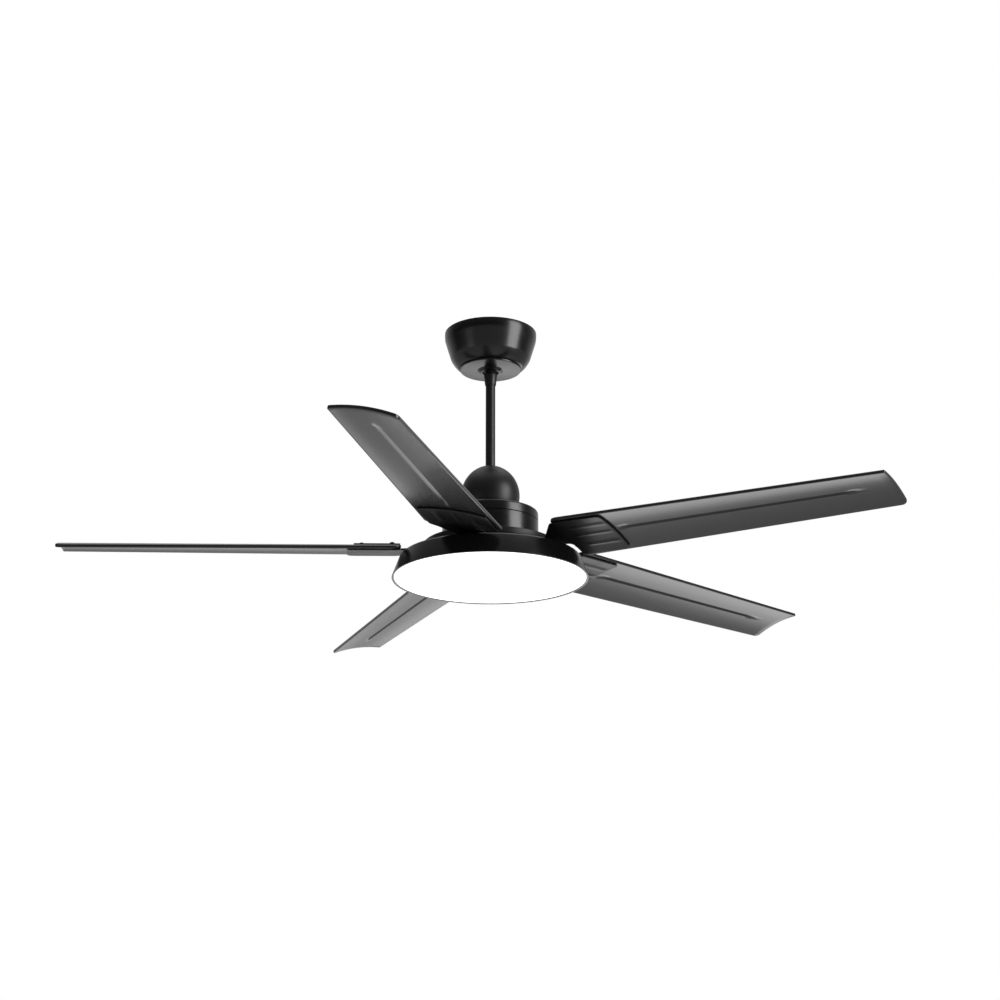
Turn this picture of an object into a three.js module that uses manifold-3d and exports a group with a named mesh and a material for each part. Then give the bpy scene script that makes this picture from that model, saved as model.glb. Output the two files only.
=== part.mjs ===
/**
 * Five-blade ceiling fan with a round LED light on a downrod.
 *
 * Millimetres, +Z up. The origin is the centre of the hanger bracket's flat top face, where it
 * lies against the ceiling, so the whole fan hangs below z = 0. The axis of the rod, motor and
 * light is the Z axis. Seen from above, +X is a direction between two blades.
 */
import * as THREE from 'three';
import { mergeVertices } from 'three/addons/utils/BufferGeometryUtils.js';
import Module from 'manifold-3d';

const wasm = await Module();
wasm.setup();

// ---------------------------------------------------------------------------------------------
// Clearances
// ---------------------------------------------------------------------------------------------
const SEAT = 0.3; // between two faces that rest on each other
const RUNNING = 1.2; // between parts that turn past each other
const BOLT_SLACK = 0.5; // hole radius over shank radius
const PAST = 1; // a cutter reaches this far past what it cuts, and joined bodies lap by it

// ---------------------------------------------------------------------------------------------
// Driving sizes
// ---------------------------------------------------------------------------------------------
const SWEEP_RADIUS = 711; // axis to the far corner of a blade tip
const BLADE_COUNT = 5;
const FIRST_BLADE_ANGLE = 184.6; // degrees, counter-clockwise from +X seen from above

const CANOPY = {
  radius: 79, height: 64, band: 11, // straight band under the ceiling
  creaseRadius: 68, creaseDrop: 47, // where the taper turns into the lower cone
  floorRadius: 54, wall: 1.5, opening: 24,
  coneBulge: 1.4, coneSteps: 3, // the lower cone is slightly full
};
const COVER = {
  radius: 52.5, depth: 3, wall: 1.4, lipRadius: 21.5, lipDrop: 4, lipFlat: 2.5, rodGap: 6,
};

const BRACKET = {
  length: 136, width: 76, sheet: 2.5, corner: 12,
  legWidth: 40, legInset: 8, // a leg stands this far outside the ball
  saddleLength: 90, saddleWidth: 44, saddleSheet: 3, saddleCorner: 6,
  seatDepth: 12, // ball centre over saddle
  slotGap: 2, // beside the rod, where it is slid in
  postRadius: 5, screwReach: 38,
  wireHole: 9, wireHoleInset: 14,
};
const CEILING_SLOT = { halfLength: 9, halfWidth: 3, x: 52, y: 24 }; // for the ceiling's screws

const BALL = { radius: 20, topFlat: 17, bottomFlat: 18, ceilingGap: 43 };
const BALL_PIN = { radius: 2.5, length: 34 };
const SWING_LIMIT = 6; // degrees that the rod can swing in the ball
const SWING_SPARE = 0.6; // degrees cut beyond that limit

const ROD = { radius: 8.2, bore: 6.4, length: 246, headroom: 14 }; // length: ball centre to lower end
const COLLAR = {
  radius: 11.5, length: 21, gapBelowLip: 2.5,
  toeWall: 0.9, waistRadius: 10.7, waistShare: 0.45, topBevel: 1, shoulder: 2,
};

const DOME = { radius: 49.6, halfHeight: 52.5, equatorOverMotor: 29.7, wall: 1.6 };
const YOKE = { radius: 17, grip: 25, shaftGrip: 33.4, pinDrop: 12, screwDrop: 40, bevel: 2 };
const YOKE_PIN = { radius: 3, length: 46, headRadius: 5.5, headLength: 3 };
const CLIP = { wall: 3, thickness: 1.2, fromEnd: 2.5 };
const SET_SCREW = { fromShaft: 0.5, outsideYoke: 2 };

const SHAFT = { radius: 8.5, bore: 5.5 };
const BEARING = { width: 12, ringWall: 3.4, ballRadius: 1.9, balls: 8 };
const CAGE = { width: 1.6, wall: 1.2 };
const STATOR = {
  radius: 56, height: 26, hub: 26, teeth: 12, toothWidth: 12, toothTip: 4,
  tipShare: 0.82, // of the circle that the tooth tips fill
};
const WINDING = { endTurn: 8, margin: 2, barInset: 8, barOutset: 4, barWidth: 6 };
const ROTOR_RING_OVERHANG = 1;
const AIR_GAP = 1;

const MOTOR = { radius: 80.5, height: 63, wall: 2.5, upperHeight: 17, hubWall: 3.7, edge: 4 };
const FLANGE = { radius: 112, opening: 40, plate: 4, rim: 11, rimWall: 3 };

const BLADE = {
  rootX: 150, axisWidth: 139.2, tipWidth: 100.7, thickness: 5.5, camber: 5.5,
  rootPitch: 11.3, tipPitch: 12.5, // degrees, the clockwise edge is the higher one
  droop: 1.01, // degrees
  shift: -5.8, // the blade's centre line passes this far beside the fan's axis
  rootCorner: 14, tipCorner: 10, sharpTipCorner: 2.5, planeUnderMotor: 1.8,
};
const RIB = { start: 250, end: 645, width: 10, depth: 1.6 };

const ARM = {
  plate: 3, tongueStart: 84, tongueHalf: 20, tongueEnd: 116,
  padStart: 150, padEnd: 238, padHalf: 57, neckInner: 14,
  tongueFlare: 2, rearSetBack: 2, // the counter-clockwise side of the pad starts further out
  corner: 9, tongueCorner: 4, threadShare: 0.6, // of the plate that a thread goes into
  screwX: 99, screwHalfSpacing: 13,
};
const BOLT = { shank: 2.4, head: 4.4, headHeight: 2.4, washer: 1, washerMargin: 1, washerCorner: 3 };
const CLAMP = {
  start: 150, end: 228, half: 30, sheet: 2, corner: 6, trim: 1,
  studs: [[164, -20], [164, 20], [214, 0]], // [out, across]
};

const LAMP = {
  topRadius: 150, rimRadius: 163.8, height: 36.3, wall: 1.5, shoulder: 3, lip: 4, opening: 22,
  underTongue: 8.2, // lamp top below the underside of the bracket tongues
};
const MOUNT_PLATE = { radius: 64, sheet: 2.5, screwCircle: 48 };
const SHAFT_NUT = { radius: 14, height: 6 };
const SHAFT_TAIL = 9; // shaft end below the lamp's top
const BOARD = {
  radius: 146, opening: 20, sheet: 1.6, underTop: 22, chipSize: 5, chipHeight: 1.2,
  chipRings: [[124, 16], [73, 8]], // [radius, how many]
};
const DRIVER = { start: 62, length: 76, width: 46, height: 16, standOff: 1.2 };
const DIFFUSER = {
  sheet: 2.5, recess: 0.8, bevel: 1, collarRadius: 150, collarWall: 2.4, collarHeight: 6,
};
const LUG = { count: 3, spread: 20, ease: 2, reach: 4, height: 2 }; // bayonet; angles in degrees

const RECEIVER = { length: 74, width: 46, height: 15, drop: 4, corner: 4 };
const TERMINAL = { length: 30, width: 14, height: 12, offset: 49, ways: 3, wayRadius: 2 };
const WIRE = { radius: 0.9, topGap: 3, bend: 13, belowShaft: 2, step: 5 };

// Segments round a circle, by the size of the circle
const LARGE = 64; // fine enough for the cover to turn in the lamp's lip
const ROUND = 32;
const MEDIUM = 24;
const SMALL = 12;
const FINE = 6;

// ---------------------------------------------------------------------------------------------
// Heights, from the ceiling down
// ---------------------------------------------------------------------------------------------
const canopyFloor = -CANOPY.height;
const ballZ = -BALL.ceilingGap;
const saddleTop = ballZ - BRACKET.seatDepth;
const saddleBottom = saddleTop - BRACKET.saddleSheet;
const coverBottom = canopyFloor - SEAT - COVER.depth;
const lipBottom = coverBottom - COVER.lipDrop;
const collarTop = lipBottom - COLLAR.gapBelowLip;
const rodTop = ballZ + ROD.headroom;
const rodBottom = ballZ - ROD.length;
const yokeTop = rodBottom + YOKE.grip;
const yokeBottom = rodBottom - 2 * SEAT - YOKE.shaftGrip;
const shaftTop = rodBottom - 4 * SEAT;
const motorTop = yokeBottom - RUNNING;
const motorBottom = motorTop - MOTOR.height;
const partingZ = motorTop - MOTOR.upperHeight;
const flangeTop = motorBottom - SEAT;
const flangeBottom = flangeTop - FLANGE.plate;
const tongueTop = flangeBottom - SEAT;
const tongueBottom = tongueTop - ARM.plate;
const bladePlane = motorBottom - BLADE.planeUnderMotor;
const lampTop = tongueBottom - LAMP.underTongue;
const lampBottom = lampTop - LAMP.height;
const shaftBottom = lampTop - SHAFT_TAIL;
const domeZ = motorTop + DOME.equatorOverMotor;
const statorZ = motorBottom + MOTOR.height / 2; // mid-height of the stator and rotor ring

// ---------------------------------------------------------------------------------------------
// Finishes
// ---------------------------------------------------------------------------------------------
const finish = (color, roughness, metalness) => ({ color, roughness, metalness });
const GLOSS_BLACK = finish(0x111214, 0.12, 0.2);
const SATIN_BLACK = finish(0x202124, 0.4, 0.1);
const BLADE_BLACK = finish(0x3a3b3e, 0.45, 0);
const STEEL = finish(0xb4b6b8, 0.35, 1);
const ZINC = finish(0xc9ccd0, 0.3, 1);
const LAMINATION = finish(0x6f7276, 0.5, 1);
const COPPER = finish(0xb5622f, 0.35, 1);
const OPAL = finish(0xfdfdfb, 0.5, 0);
const BOARD_WHITE = finish(0xeceeee, 0.5, 0);
const DARK_PLASTIC = finish(0x2b2d30, 0.5, 0);
const PALE_PLASTIC = finish(0xe6e6e0, 0.5, 0);

// ---------------------------------------------------------------------------------------------
// Shape helpers
// ---------------------------------------------------------------------------------------------
const radians = THREE.MathUtils.degToRad;

/** A closed geometry as a solid that can be joined and cut. */
function solid(geometry) {
  const bare = geometry.clone();
  bare.deleteAttribute('normal');
  bare.deleteAttribute('uv');
  const welded = mergeVertices(bare, 1e-4);
  const index = welded.index.array;
  const triangles = [];
  for (let i = 0; i < index.length; i += 3) {
    const [a, b, c] = [index[i], index[i + 1], index[i + 2]];
    if (a !== b && b !== c && c !== a) triangles.push(a, b, c);
  }
  return new wasm.Manifold(new wasm.Mesh({
    numProp: 3,
    vertProperties: new Float32Array(welded.attributes.position.array),
    triVerts: new Uint32Array(triangles),
  }));
}

/** A solid as a geometry again. */
function geometryOf(body) {
  const { vertProperties, triVerts } = body.getMesh();
  const geometry = new THREE.BufferGeometry();
  geometry.setAttribute('position', new THREE.BufferAttribute(vertProperties, 3));
  geometry.setIndex(new THREE.BufferAttribute(triVerts, 1));
  return geometry;
}

const join = (bodies) => bodies.reduce((sum, body) => sum.add(body));
const cut = (body, tools) => tools.reduce((rest, tool) => rest.subtract(tool), body);

/** A profile of [radius, z] points turned about Z. */
function lathe(profile, segments) {
  const points = profile.map(([r, z]) => new THREE.Vector2(r, z));
  return new THREE.LatheGeometry(points, segments).rotateX(Math.PI / 2);
}

/** A ring of rectangular section. */
const ring = (inner, outer, bottom, top, segments) => lathe(
  [[inner, bottom], [outer, bottom], [outer, top], [inner, top], [inner, bottom]], segments);

/** A standing cylinder. */
function cylinder(radius, bottom, top, x = 0, y = 0, segments = FINE) {
  return new THREE.CylinderGeometry(radius, radius, top - bottom, segments)
    .rotateX(Math.PI / 2).translate(x, y, (top + bottom) / 2);
}

/** A cylinder lying along X. */
function lyingCylinder(radius, start, end, z, segments = FINE) {
  return new THREE.CylinderGeometry(radius, radius, end - start, segments)
    .rotateZ(Math.PI / 2).translate((start + end) / 2, 0, z);
}

function box(x0, x1, y0, y1, z0, z1) {
  return new THREE.BoxGeometry(x1 - x0, y1 - y0, z1 - z0)
    .translate((x0 + x1) / 2, (y0 + y1) / 2, (z0 + z1) / 2);
}

/** An outline of [x, y, corner radius] points, each corner a smooth curve. */
function outline(corners) {
  const shape = new THREE.Shape();
  const point = (i) => new THREE.Vector2(...corners.at(i % corners.length).slice(0, 2));
  corners.forEach(([x, y, radius], i) => {
    const corner = new THREE.Vector2(x, y);
    const before = point(i - 1).sub(corner).setLength(radius).add(corner);
    const after = point(i + 1).sub(corner).setLength(radius).add(corner);
    if (i === 0) shape.moveTo(before.x, before.y);
    else shape.lineTo(before.x, before.y);
    shape.quadraticCurveTo(x, y, after.x, after.y);
  });
  shape.closePath();
  return shape;
}

/** An outline raised between two heights. */
function prism(shape, bottom, top, curveSegments = 2) {
  return new THREE.ExtrudeGeometry(shape, { depth: top - bottom, bevelEnabled: false, curveSegments })
    .translate(0, 0, bottom);
}

const roundedRectangle = (halfX, halfY, corner) => outline([
  [-halfX, -halfY, corner], [halfX, -halfY, corner], [halfX, halfY, corner], [-halfX, halfY, corner]]);

/** Copies of a solid turned about Z. */
function turned(body, count, startAngle = 0) {
  return Array.from({ length: count }, (_, i) => body.rotate([0, 0, startAngle + (360 * i) / count]));
}

// ---------------------------------------------------------------------------------------------
// Assembly
// ---------------------------------------------------------------------------------------------
const fan = new THREE.Group();

/** Adds a named sub-part. */
function add(name, shape, look, parent = fan) {
  const geometry = shape.isBufferGeometry ? shape : geometryOf(shape);
  const mesh = new THREE.Mesh(geometry, new THREE.MeshStandardMaterial(look));
  mesh.name = name;
  parent.add(mesh);
}

// ---------------------------------------------------------------------------------------------
// Ceiling side: bracket, canopy and what is wired inside it
// ---------------------------------------------------------------------------------------------
function hangerBracket() {
  const { length, width, sheet: plate, corner, legWidth, legInset, postRadius, screwReach } = BRACKET;
  const legX = BALL.radius + legInset;
  const halfLeg = legWidth / 2;
  const topPlate = solid(prism(roundedRectangle(length / 2, width / 2, corner), -plate, 0));
  const legs = [-legX - plate, legX].map((x) => solid(
    box(x, x + plate, -halfLeg, halfLeg, saddleBottom + PAST, -PAST)));
  const saddle = solid(prism(roundedRectangle(BRACKET.saddleLength / 2, BRACKET.saddleWidth / 2,
    BRACKET.saddleCorner), saddleBottom, saddleTop));
  const postBottom = canopyFloor + CANOPY.wall + SEAT;
  const posts = [-1, 1].map((side) => solid(
    cylinder(postRadius, postBottom, saddleBottom + PAST, side * screwReach, 0)));
  const seatRadius = Math.sqrt(BALL.radius ** 2 - BRACKET.seatDepth ** 2) + SEAT;
  const seat = solid(cylinder(seatRadius, saddleBottom - PAST, saddleTop + PAST, 0, 0, MEDIUM));
  const slotHalf = ROD.radius + BRACKET.slotGap;
  const slot = solid(box(-slotHalf, slotHalf, 0, BRACKET.saddleWidth, saddleBottom - PAST,
    saddleTop + PAST));
  const screwHoles = [-1, 1].map((side) => solid(cylinder(BOLT.shank + BOLT_SLACK,
    postBottom - PAST, saddleTop + PAST, side * screwReach, 0)));
  const { halfLength, halfWidth: halfSlot, x: slotX, y: slotY } = CEILING_SLOT;
  const ceilingSlot = solid(prism(roundedRectangle(halfLength, halfSlot, halfSlot),
    -plate - PAST, PAST));
  const ceilingSlots = [-1, 1].flatMap((side) => [-1, 1].map((end) => ceilingSlot.translate(
    [side * slotX, end * slotY, 0])));
  const wireHole = solid(cylinder(BRACKET.wireHole, -plate - PAST, PAST, 0,
    width / 2 - BRACKET.wireHoleInset));
  return cut(join([topPlate, ...legs, saddle, ...posts]),
    [seat, slot, ...screwHoles, ...ceilingSlots, wireHole]);
}

function canopy() {
  const { radius, band, creaseRadius, creaseDrop, floorRadius, wall, opening } = CANOPY;
  const rim = -SEAT;
  const cone = Array.from({ length: CANOPY.coneSteps + 1 }, (_, i) => {
    const share = i / CANOPY.coneSteps;
    const bulge = CANOPY.coneBulge * Math.sin(Math.PI * share);
    return [THREE.MathUtils.lerp(floorRadius, creaseRadius, share) + bulge,
      THREE.MathUtils.lerp(canopyFloor, -creaseDrop, share) - bulge];
  });
  const outer = [...cone, [radius, -band], [radius, rim]];
  const inner = [[radius - wall, rim], [radius - wall, -band], [creaseRadius - wall, wall - creaseDrop],
    [floorRadius - wall, canopyFloor + wall]];
  const shell = [[opening, canopyFloor], ...outer, ...inner, [opening, canopyFloor + wall],
    [opening, canopyFloor]];
  const holes = [-1, 1].map((side) => solid(cylinder(BOLT.shank + BOLT_SLACK,
    canopyFloor - PAST, canopyFloor + wall + PAST, side * BRACKET.screwReach, 0)));
  return cut(solid(lathe(shell, ROUND)), holes);
}

function canopyCover() {
  const { radius, wall, lipRadius, lipFlat } = COVER;
  const opening = ROD.radius + COVER.rodGap; // lets the rod swing
  const top = canopyFloor - SEAT;
  return lathe([
    [opening, lipBottom], [opening + lipFlat, lipBottom], [lipRadius, coverBottom],
    [radius, coverBottom], [radius, top], [radius - wall, top],
    [radius - wall, coverBottom + wall], [lipRadius, coverBottom + wall],
    [opening, lipBottom + wall], [opening, lipBottom],
  ], MEDIUM);
}

/** Screw through the canopy's floor, up the bracket's post. */
function canopyScrew(side) {
  const headTop = canopyFloor - SEAT;
  const headBottom = headTop - COVER.depth / 2;
  const x = side * BRACKET.screwReach;
  return join([
    solid(cylinder(BOLT.head, headBottom, headTop, x, 0)),
    solid(cylinder(BOLT.shank, headTop - COVER.depth / 4, saddleTop + BRACKET.saddleSheet, x, 0)),
  ]);
}

function addCeilingSide() {
  add('hanger_bracket', hangerBracket(), ZINC);
  add('canopy', canopy(), GLOSS_BLACK);
  add('canopy_cover', canopyCover(), GLOSS_BLACK);
  add('canopy_screw_left', canopyScrew(-1), ZINC);
  add('canopy_screw_right', canopyScrew(1), ZINC);
  const receiverTop = -RECEIVER.drop;
  const receiver = prism(roundedRectangle(RECEIVER.width / 2, RECEIVER.length / 2, RECEIVER.corner),
    receiverTop - RECEIVER.height, receiverTop);
  add('remote_receiver', receiver, PALE_PLASTIC);
  const terminalTop = -BRACKET.sheet - SEAT;
  const { offset, width, length, height, ways: count, wayRadius } = TERMINAL;
  const block = solid(box(offset - width / 2, offset + width / 2, -length / 2, length / 2,
    terminalTop - height, terminalTop));
  const ways = Array.from({ length: count }, (_, i) => solid(cylinder(wayRadius,
    terminalTop - height - PAST, terminalTop - height / 2, offset,
    (length * (i - (count - 1) / 2)) / count)));
  add('terminal_block', cut(block, ways), PALE_PLASTIC);
}

// ---------------------------------------------------------------------------------------------
// Hanger ball, downrod and coupling
// ---------------------------------------------------------------------------------------------
function hangerBall() {
  const sphere = solid(new THREE.SphereGeometry(BALL.radius, MEDIUM, SMALL - 2));
  const reach = BALL.radius + PAST;
  const keep = solid(box(-reach, reach, -reach, reach, -BALL.bottomFlat, BALL.topFlat));
  const bore = solid(cylinder(ROD.radius + SEAT, -reach, reach, 0, 0, SMALL));
  const swing = SWING_LIMIT + SWING_SPARE;
  const bell = [-swing, swing].map((angle) => bore.rotate([angle, 0, 0]));
  const pinHole = solid(lyingCylinder(BALL_PIN.radius + SEAT, -reach, reach, 0));
  return cut(sphere.intersect(keep), [bore, ...bell, pinHole]).translate([0, 0, ballZ]);
}

function downrod() {
  const yokePinZ = yokeTop - YOKE.pinDrop;
  const tube = solid(ring(ROD.bore, ROD.radius, rodBottom, rodTop, SMALL));
  return cut(tube, [
    solid(lyingCylinder(BALL_PIN.radius + SEAT, -ROD.radius - PAST, ROD.radius + PAST, ballZ)),
    solid(lyingCylinder(YOKE_PIN.radius + SEAT, -ROD.radius - PAST, ROD.radius + PAST, yokePinZ)),
  ]);
}

function rodCollar() {
  const inner = ROD.radius + SEAT;
  const { radius, length, toeWall, waistRadius, waistShare, topBevel, shoulder } = COLLAR;
  return lathe([
    [inner, collarTop - length], [inner + toeWall, collarTop - length],
    [waistRadius, collarTop - length * waistShare], [radius, collarTop - shoulder],
    [radius - topBevel, collarTop], [inner, collarTop], [inner, collarTop - length],
  ], SMALL);
}

/** Egg-shaped shell that hides the coupling, open at the bottom. */
function couplingCover() {
  const { radius, halfHeight, wall } = DOME;
  const bottom = motorTop + RUNNING;
  const opening = ROD.radius + 2 * SEAT;
  const arc = (shrink, steps) => {
    const [a, c] = [radius - shrink, halfHeight - shrink];
    const low = Math.asin((bottom - domeZ) / c);
    const high = Math.acos(opening / a);
    return Array.from({ length: steps + 1 }, (_, i) => {
      const angle = THREE.MathUtils.lerp(low, high, i / steps);
      return [a * Math.cos(angle), domeZ + c * Math.sin(angle)];
    });
  };
  const outer = arc(0, 9);
  const inner = arc(wall, 5).reverse();
  return lathe([...outer, ...inner, outer[0]], MEDIUM);
}

function couplingYoke() {
  const pinZ = yokeTop - YOKE.pinDrop;
  const screwZ = yokeTop - YOKE.screwDrop;
  const { radius, bevel } = YOKE;
  const block = solid(lathe([[0, yokeBottom], [radius, yokeBottom], [radius, yokeTop - bevel],
    [radius - bevel, yokeTop], [0, yokeTop]], SMALL));
  const rodSocket = solid(cylinder(ROD.radius + SEAT, rodBottom - SEAT, yokeTop + PAST, 0, 0, SMALL));
  const shaftSocket = solid(cylinder(SHAFT.radius + SEAT, yokeBottom - PAST, rodBottom, 0, 0, SMALL));
  const pinHole = solid(lyingCylinder(YOKE_PIN.radius + SEAT, -radius - PAST, radius + PAST, pinZ));
  const screwHole = solid(lyingCylinder(BOLT.shank + BOLT_SLACK, -radius - PAST, radius + PAST,
    screwZ));
  return cut(block, [rodSocket, shaftSocket, pinHole, screwHole]);
}

function addCoupling(parent) {
  add('hanger_ball', hangerBall(), SATIN_BLACK);
  add('ball_pin', lyingCylinder(BALL_PIN.radius, -BALL_PIN.length / 2, BALL_PIN.length / 2, ballZ), STEEL);
  add('downrod', downrod(), SATIN_BLACK, parent);
  add('rod_collar', rodCollar(), SATIN_BLACK, parent);
  add('coupling_cover', couplingCover(), SATIN_BLACK, parent);
  add('coupling_yoke', couplingYoke(), STEEL, parent);

  const pinZ = yokeTop - YOKE.pinDrop;
  const half = YOKE_PIN.length / 2;
  add('yoke_pin', join([
    solid(lyingCylinder(YOKE_PIN.radius, -half, half, pinZ)),
    solid(lyingCylinder(YOKE_PIN.headRadius, -half - YOKE_PIN.headLength, -half + SEAT, pinZ)),
  ]), ZINC, parent);
  const clip = ring(YOKE_PIN.radius + SEAT, YOKE_PIN.radius + CLIP.wall,
    -CLIP.thickness / 2, CLIP.thickness / 2, SMALL)
    .rotateY(Math.PI / 2).translate(half - CLIP.fromEnd, 0, pinZ);
  add('pin_clip', clip, STEEL, parent);
  [['left', -1], ['right', 1]].forEach(([name, side]) => {
    const near = side * (SHAFT.radius + SET_SCREW.fromShaft);
    const far = side * (YOKE.radius + SET_SCREW.outsideYoke);
    const screw = lyingCylinder(BOLT.shank, Math.min(near, far), Math.max(near, far),
      yokeTop - YOKE.screwDrop);
    add(`yoke_set_screw_${name}`, screw, STEEL, parent);
  });
}

// ---------------------------------------------------------------------------------------------
// Motor: fixed shaft and stator inside a turning case
// ---------------------------------------------------------------------------------------------
const bearingRadius = SHAFT.radius + SEAT + 2 * (BEARING.ringWall + BEARING.ballRadius + SEAT);
const hubRadius = bearingRadius + SEAT;
const upperBearingTop = motorTop - MOTOR.wall - SEAT;
const lowerBearingBottom = motorBottom + MOTOR.wall + SEAT;

function addBearing(level, bottom, parent) {
  const top = bottom + BEARING.width;
  const middle = (bottom + top) / 2;
  const bore = SHAFT.radius + SEAT;
  const innerOuter = bore + BEARING.ringWall;
  const outerInner = bearingRadius - BEARING.ringWall;
  add(`${level}_bearing_inner_ring`, ring(bore, innerOuter, bottom, top, SMALL), STEEL, parent);
  add(`${level}_bearing_outer_ring`, ring(outerInner, bearingRadius, bottom, top, SMALL), STEEL, parent);
  const flats = outerInner * Math.cos(Math.PI / SMALL); // how near the ring's facets come
  const pitchRadius = (innerOuter + flats) / 2;
  const ball = solid(new THREE.IcosahedronGeometry(BEARING.ballRadius, 0))
    .translate([pitchRadius, 0, middle]);
  const cage = solid(ring(pitchRadius - CAGE.wall / 2, pitchRadius + CAGE.wall / 2,
    middle - CAGE.width / 2, middle + CAGE.width / 2, SMALL));
  add(`${level}_bearing_balls`, join([cage, ...turned(ball, BEARING.balls)]), STEEL, parent);
}

/** Laminated core: a hub with T-shaped teeth. */
function statorShape() {
  const { radius, hub, teeth, toothWidth, toothTip, tipShare } = STATOR;
  const shape = new THREE.Shape();
  const tipHalf = (Math.PI / teeth) * tipShare;
  const stemHalf = toothWidth / 2;
  for (let i = 0; i < teeth; i += 1) {
    const middle = (2 * Math.PI * i) / teeth;
    const at = (r, angle) => [r * Math.cos(middle + angle), r * Math.sin(middle + angle)];
    const low = Math.asin(stemHalf / hub);
    const high = Math.asin(stemHalf / (radius - toothTip));
    const points = [at(hub, -low), at(radius - toothTip, -high), at(radius - toothTip, -tipHalf),
      at(radius, -tipHalf), at(radius, tipHalf), at(radius - toothTip, tipHalf),
      at(radius - toothTip, high), at(hub, low)];
    points.forEach(([x, y], n) => {
      if (i === 0 && n === 0) shape.moveTo(x, y);
      else shape.lineTo(x, y);
    });
  }
  shape.closePath();
  return shape;
}

function addStator(parent) {
  const half = STATOR.height / 2;
  const bore = solid(cylinder(SHAFT.radius + SEAT, -half - PAST, half + PAST, 0, 0, SMALL));
  const core = solid(prism(statorShape(), -half, half)).subtract(bore);
  add('stator_core', geometryOf(core.translate([0, 0, statorZ])), LAMINATION, parent);

  const { endTurn, margin, barInset, barOutset, barWidth } = WINDING;
  const inner = STATOR.hub + margin;
  const outer = STATOR.radius - STATOR.toothTip - margin;
  const low = half + SEAT;
  const ends = [[low, low + endTurn], [-low - endTurn, -low]].map(([z0, z1]) => solid(
    ring(inner, outer, z0, z1, 2 * STATOR.teeth)));
  const bar = solid(box(inner + barInset, outer - barOutset, -barWidth / 2, barWidth / 2,
    -low - PAST, low + PAST));
  const bars = turned(bar, STATOR.teeth, 180 / STATOR.teeth);
  add('stator_winding', join([...ends, ...bars]).translate([0, 0, statorZ]), COPPER, parent);
}

function addFixedMotor(parent) {
  add('motor_shaft', ring(SHAFT.bore, SHAFT.radius, shaftBottom, shaftTop, SMALL), STEEL, parent);
  addStator(parent);
}

function upperShell() {
  const { radius, wall, edge, hubWall } = MOTOR;
  const bottom = partingZ + SEAT;
  const hubBottom = upperBearingTop - BEARING.width;
  return lathe([
    [radius - wall, bottom], [radius, bottom], [radius, motorTop - edge], [radius - edge, motorTop],
    [SHAFT.radius + RUNNING, motorTop], [SHAFT.radius + RUNNING, motorTop - wall],
    [hubRadius, motorTop - wall], [hubRadius, hubBottom], [hubRadius + hubWall, hubBottom],
    [hubRadius + hubWall, motorTop - wall], [radius - edge - wall / 2, motorTop - wall],
    [radius - wall, motorTop - edge - wall / 2], [radius - wall, bottom],
  ], ROUND);
}

function lowerShell() {
  const { radius, wall, edge, hubWall } = MOTOR;
  const top = partingZ - SEAT;
  const hubTop = lowerBearingBottom + BEARING.width;
  return lathe([
    [SHAFT.radius + RUNNING, motorBottom], [radius - edge, motorBottom],
    [radius, motorBottom + edge], [radius, top],
    [radius - wall, top], [radius - wall, motorBottom + edge + wall / 2],
    [radius - edge - wall / 2, motorBottom + wall], [hubRadius + hubWall, motorBottom + wall],
    [hubRadius + hubWall, hubTop], [hubRadius, hubTop], [hubRadius, motorBottom + wall],
    [SHAFT.radius + RUNNING, motorBottom + wall], [SHAFT.radius + RUNNING, motorBottom],
  ], ROUND);
}

/** Blade carrier: a plate with a raised rim, drilled for the bracket screws. */
function bladeFlange() {
  const { radius, opening, rim, rimWall } = FLANGE;
  const rimTop = flangeBottom + rim;
  const body = solid(lathe([
    [opening, flangeBottom], [radius, flangeBottom], [radius, rimTop], [radius - rimWall, rimTop],
    [radius - rimWall, flangeTop], [opening, flangeTop], [opening, flangeBottom],
  ], ROUND));
  const hole = (side) => solid(cylinder(BOLT.shank + BOLT_SLACK, flangeBottom - PAST, flangeTop + PAST,
    ARM.screwX, side * ARM.screwHalfSpacing));
  return cut(body, [-1, 1].flatMap((side) => turned(hole(side), BLADE_COUNT, FIRST_BLADE_ANGLE)));
}

function addRotor(parent) {
  addBearing('upper', upperBearingTop - BEARING.width, parent);
  addBearing('lower', lowerBearingBottom, parent);
  const half = STATOR.height / 2 + ROTOR_RING_OVERHANG;
  add('rotor_ring', ring(STATOR.radius + AIR_GAP, MOTOR.radius - MOTOR.wall - SEAT,
    statorZ - half, statorZ + half, ROUND), LAMINATION, parent);
  add('motor_upper_shell', upperShell(), GLOSS_BLACK, parent);
  add('motor_lower_shell', lowerShell(), GLOSS_BLACK, parent);
  add('blade_flange', bladeFlange(), SATIN_BLACK, parent);
}

// ---------------------------------------------------------------------------------------------
// Blades. In a blade's own frame +X runs out along the blade and +Y is counter-clockwise.
// ---------------------------------------------------------------------------------------------
const tipX = Math.sqrt(SWEEP_RADIUS ** 2
  - (BLADE.tipWidth / 2 - BLADE.shift - BLADE.sharpTipCorner / 2) ** 2);
const ARCH_STEPS = 6; // facets across the arch, shared by the blade and the plates on it
const halfWidth = (x) => THREE.MathUtils.lerp(BLADE.axisWidth, BLADE.tipWidth, x / SWEEP_RADIUS) / 2;
const pitchAt = (x) => radians(THREE.MathUtils.lerp(BLADE.rootPitch, BLADE.tipPitch, x / SWEEP_RADIUS));

/** A point at distance x out, t across and h above the blade's arched middle surface. */
function onBlade(x, t, h) {
  const pitch = pitchAt(x);
  const arch = BLADE.camber * (1 - (t / halfWidth(x)) ** 2);
  return [x, BLADE.shift + t * Math.cos(pitch) + h * Math.sin(pitch),
    bladePlane - x * Math.tan(radians(BLADE.droop)) - t * Math.sin(pitch) + arch + h * Math.cos(pitch)];
}

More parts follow.
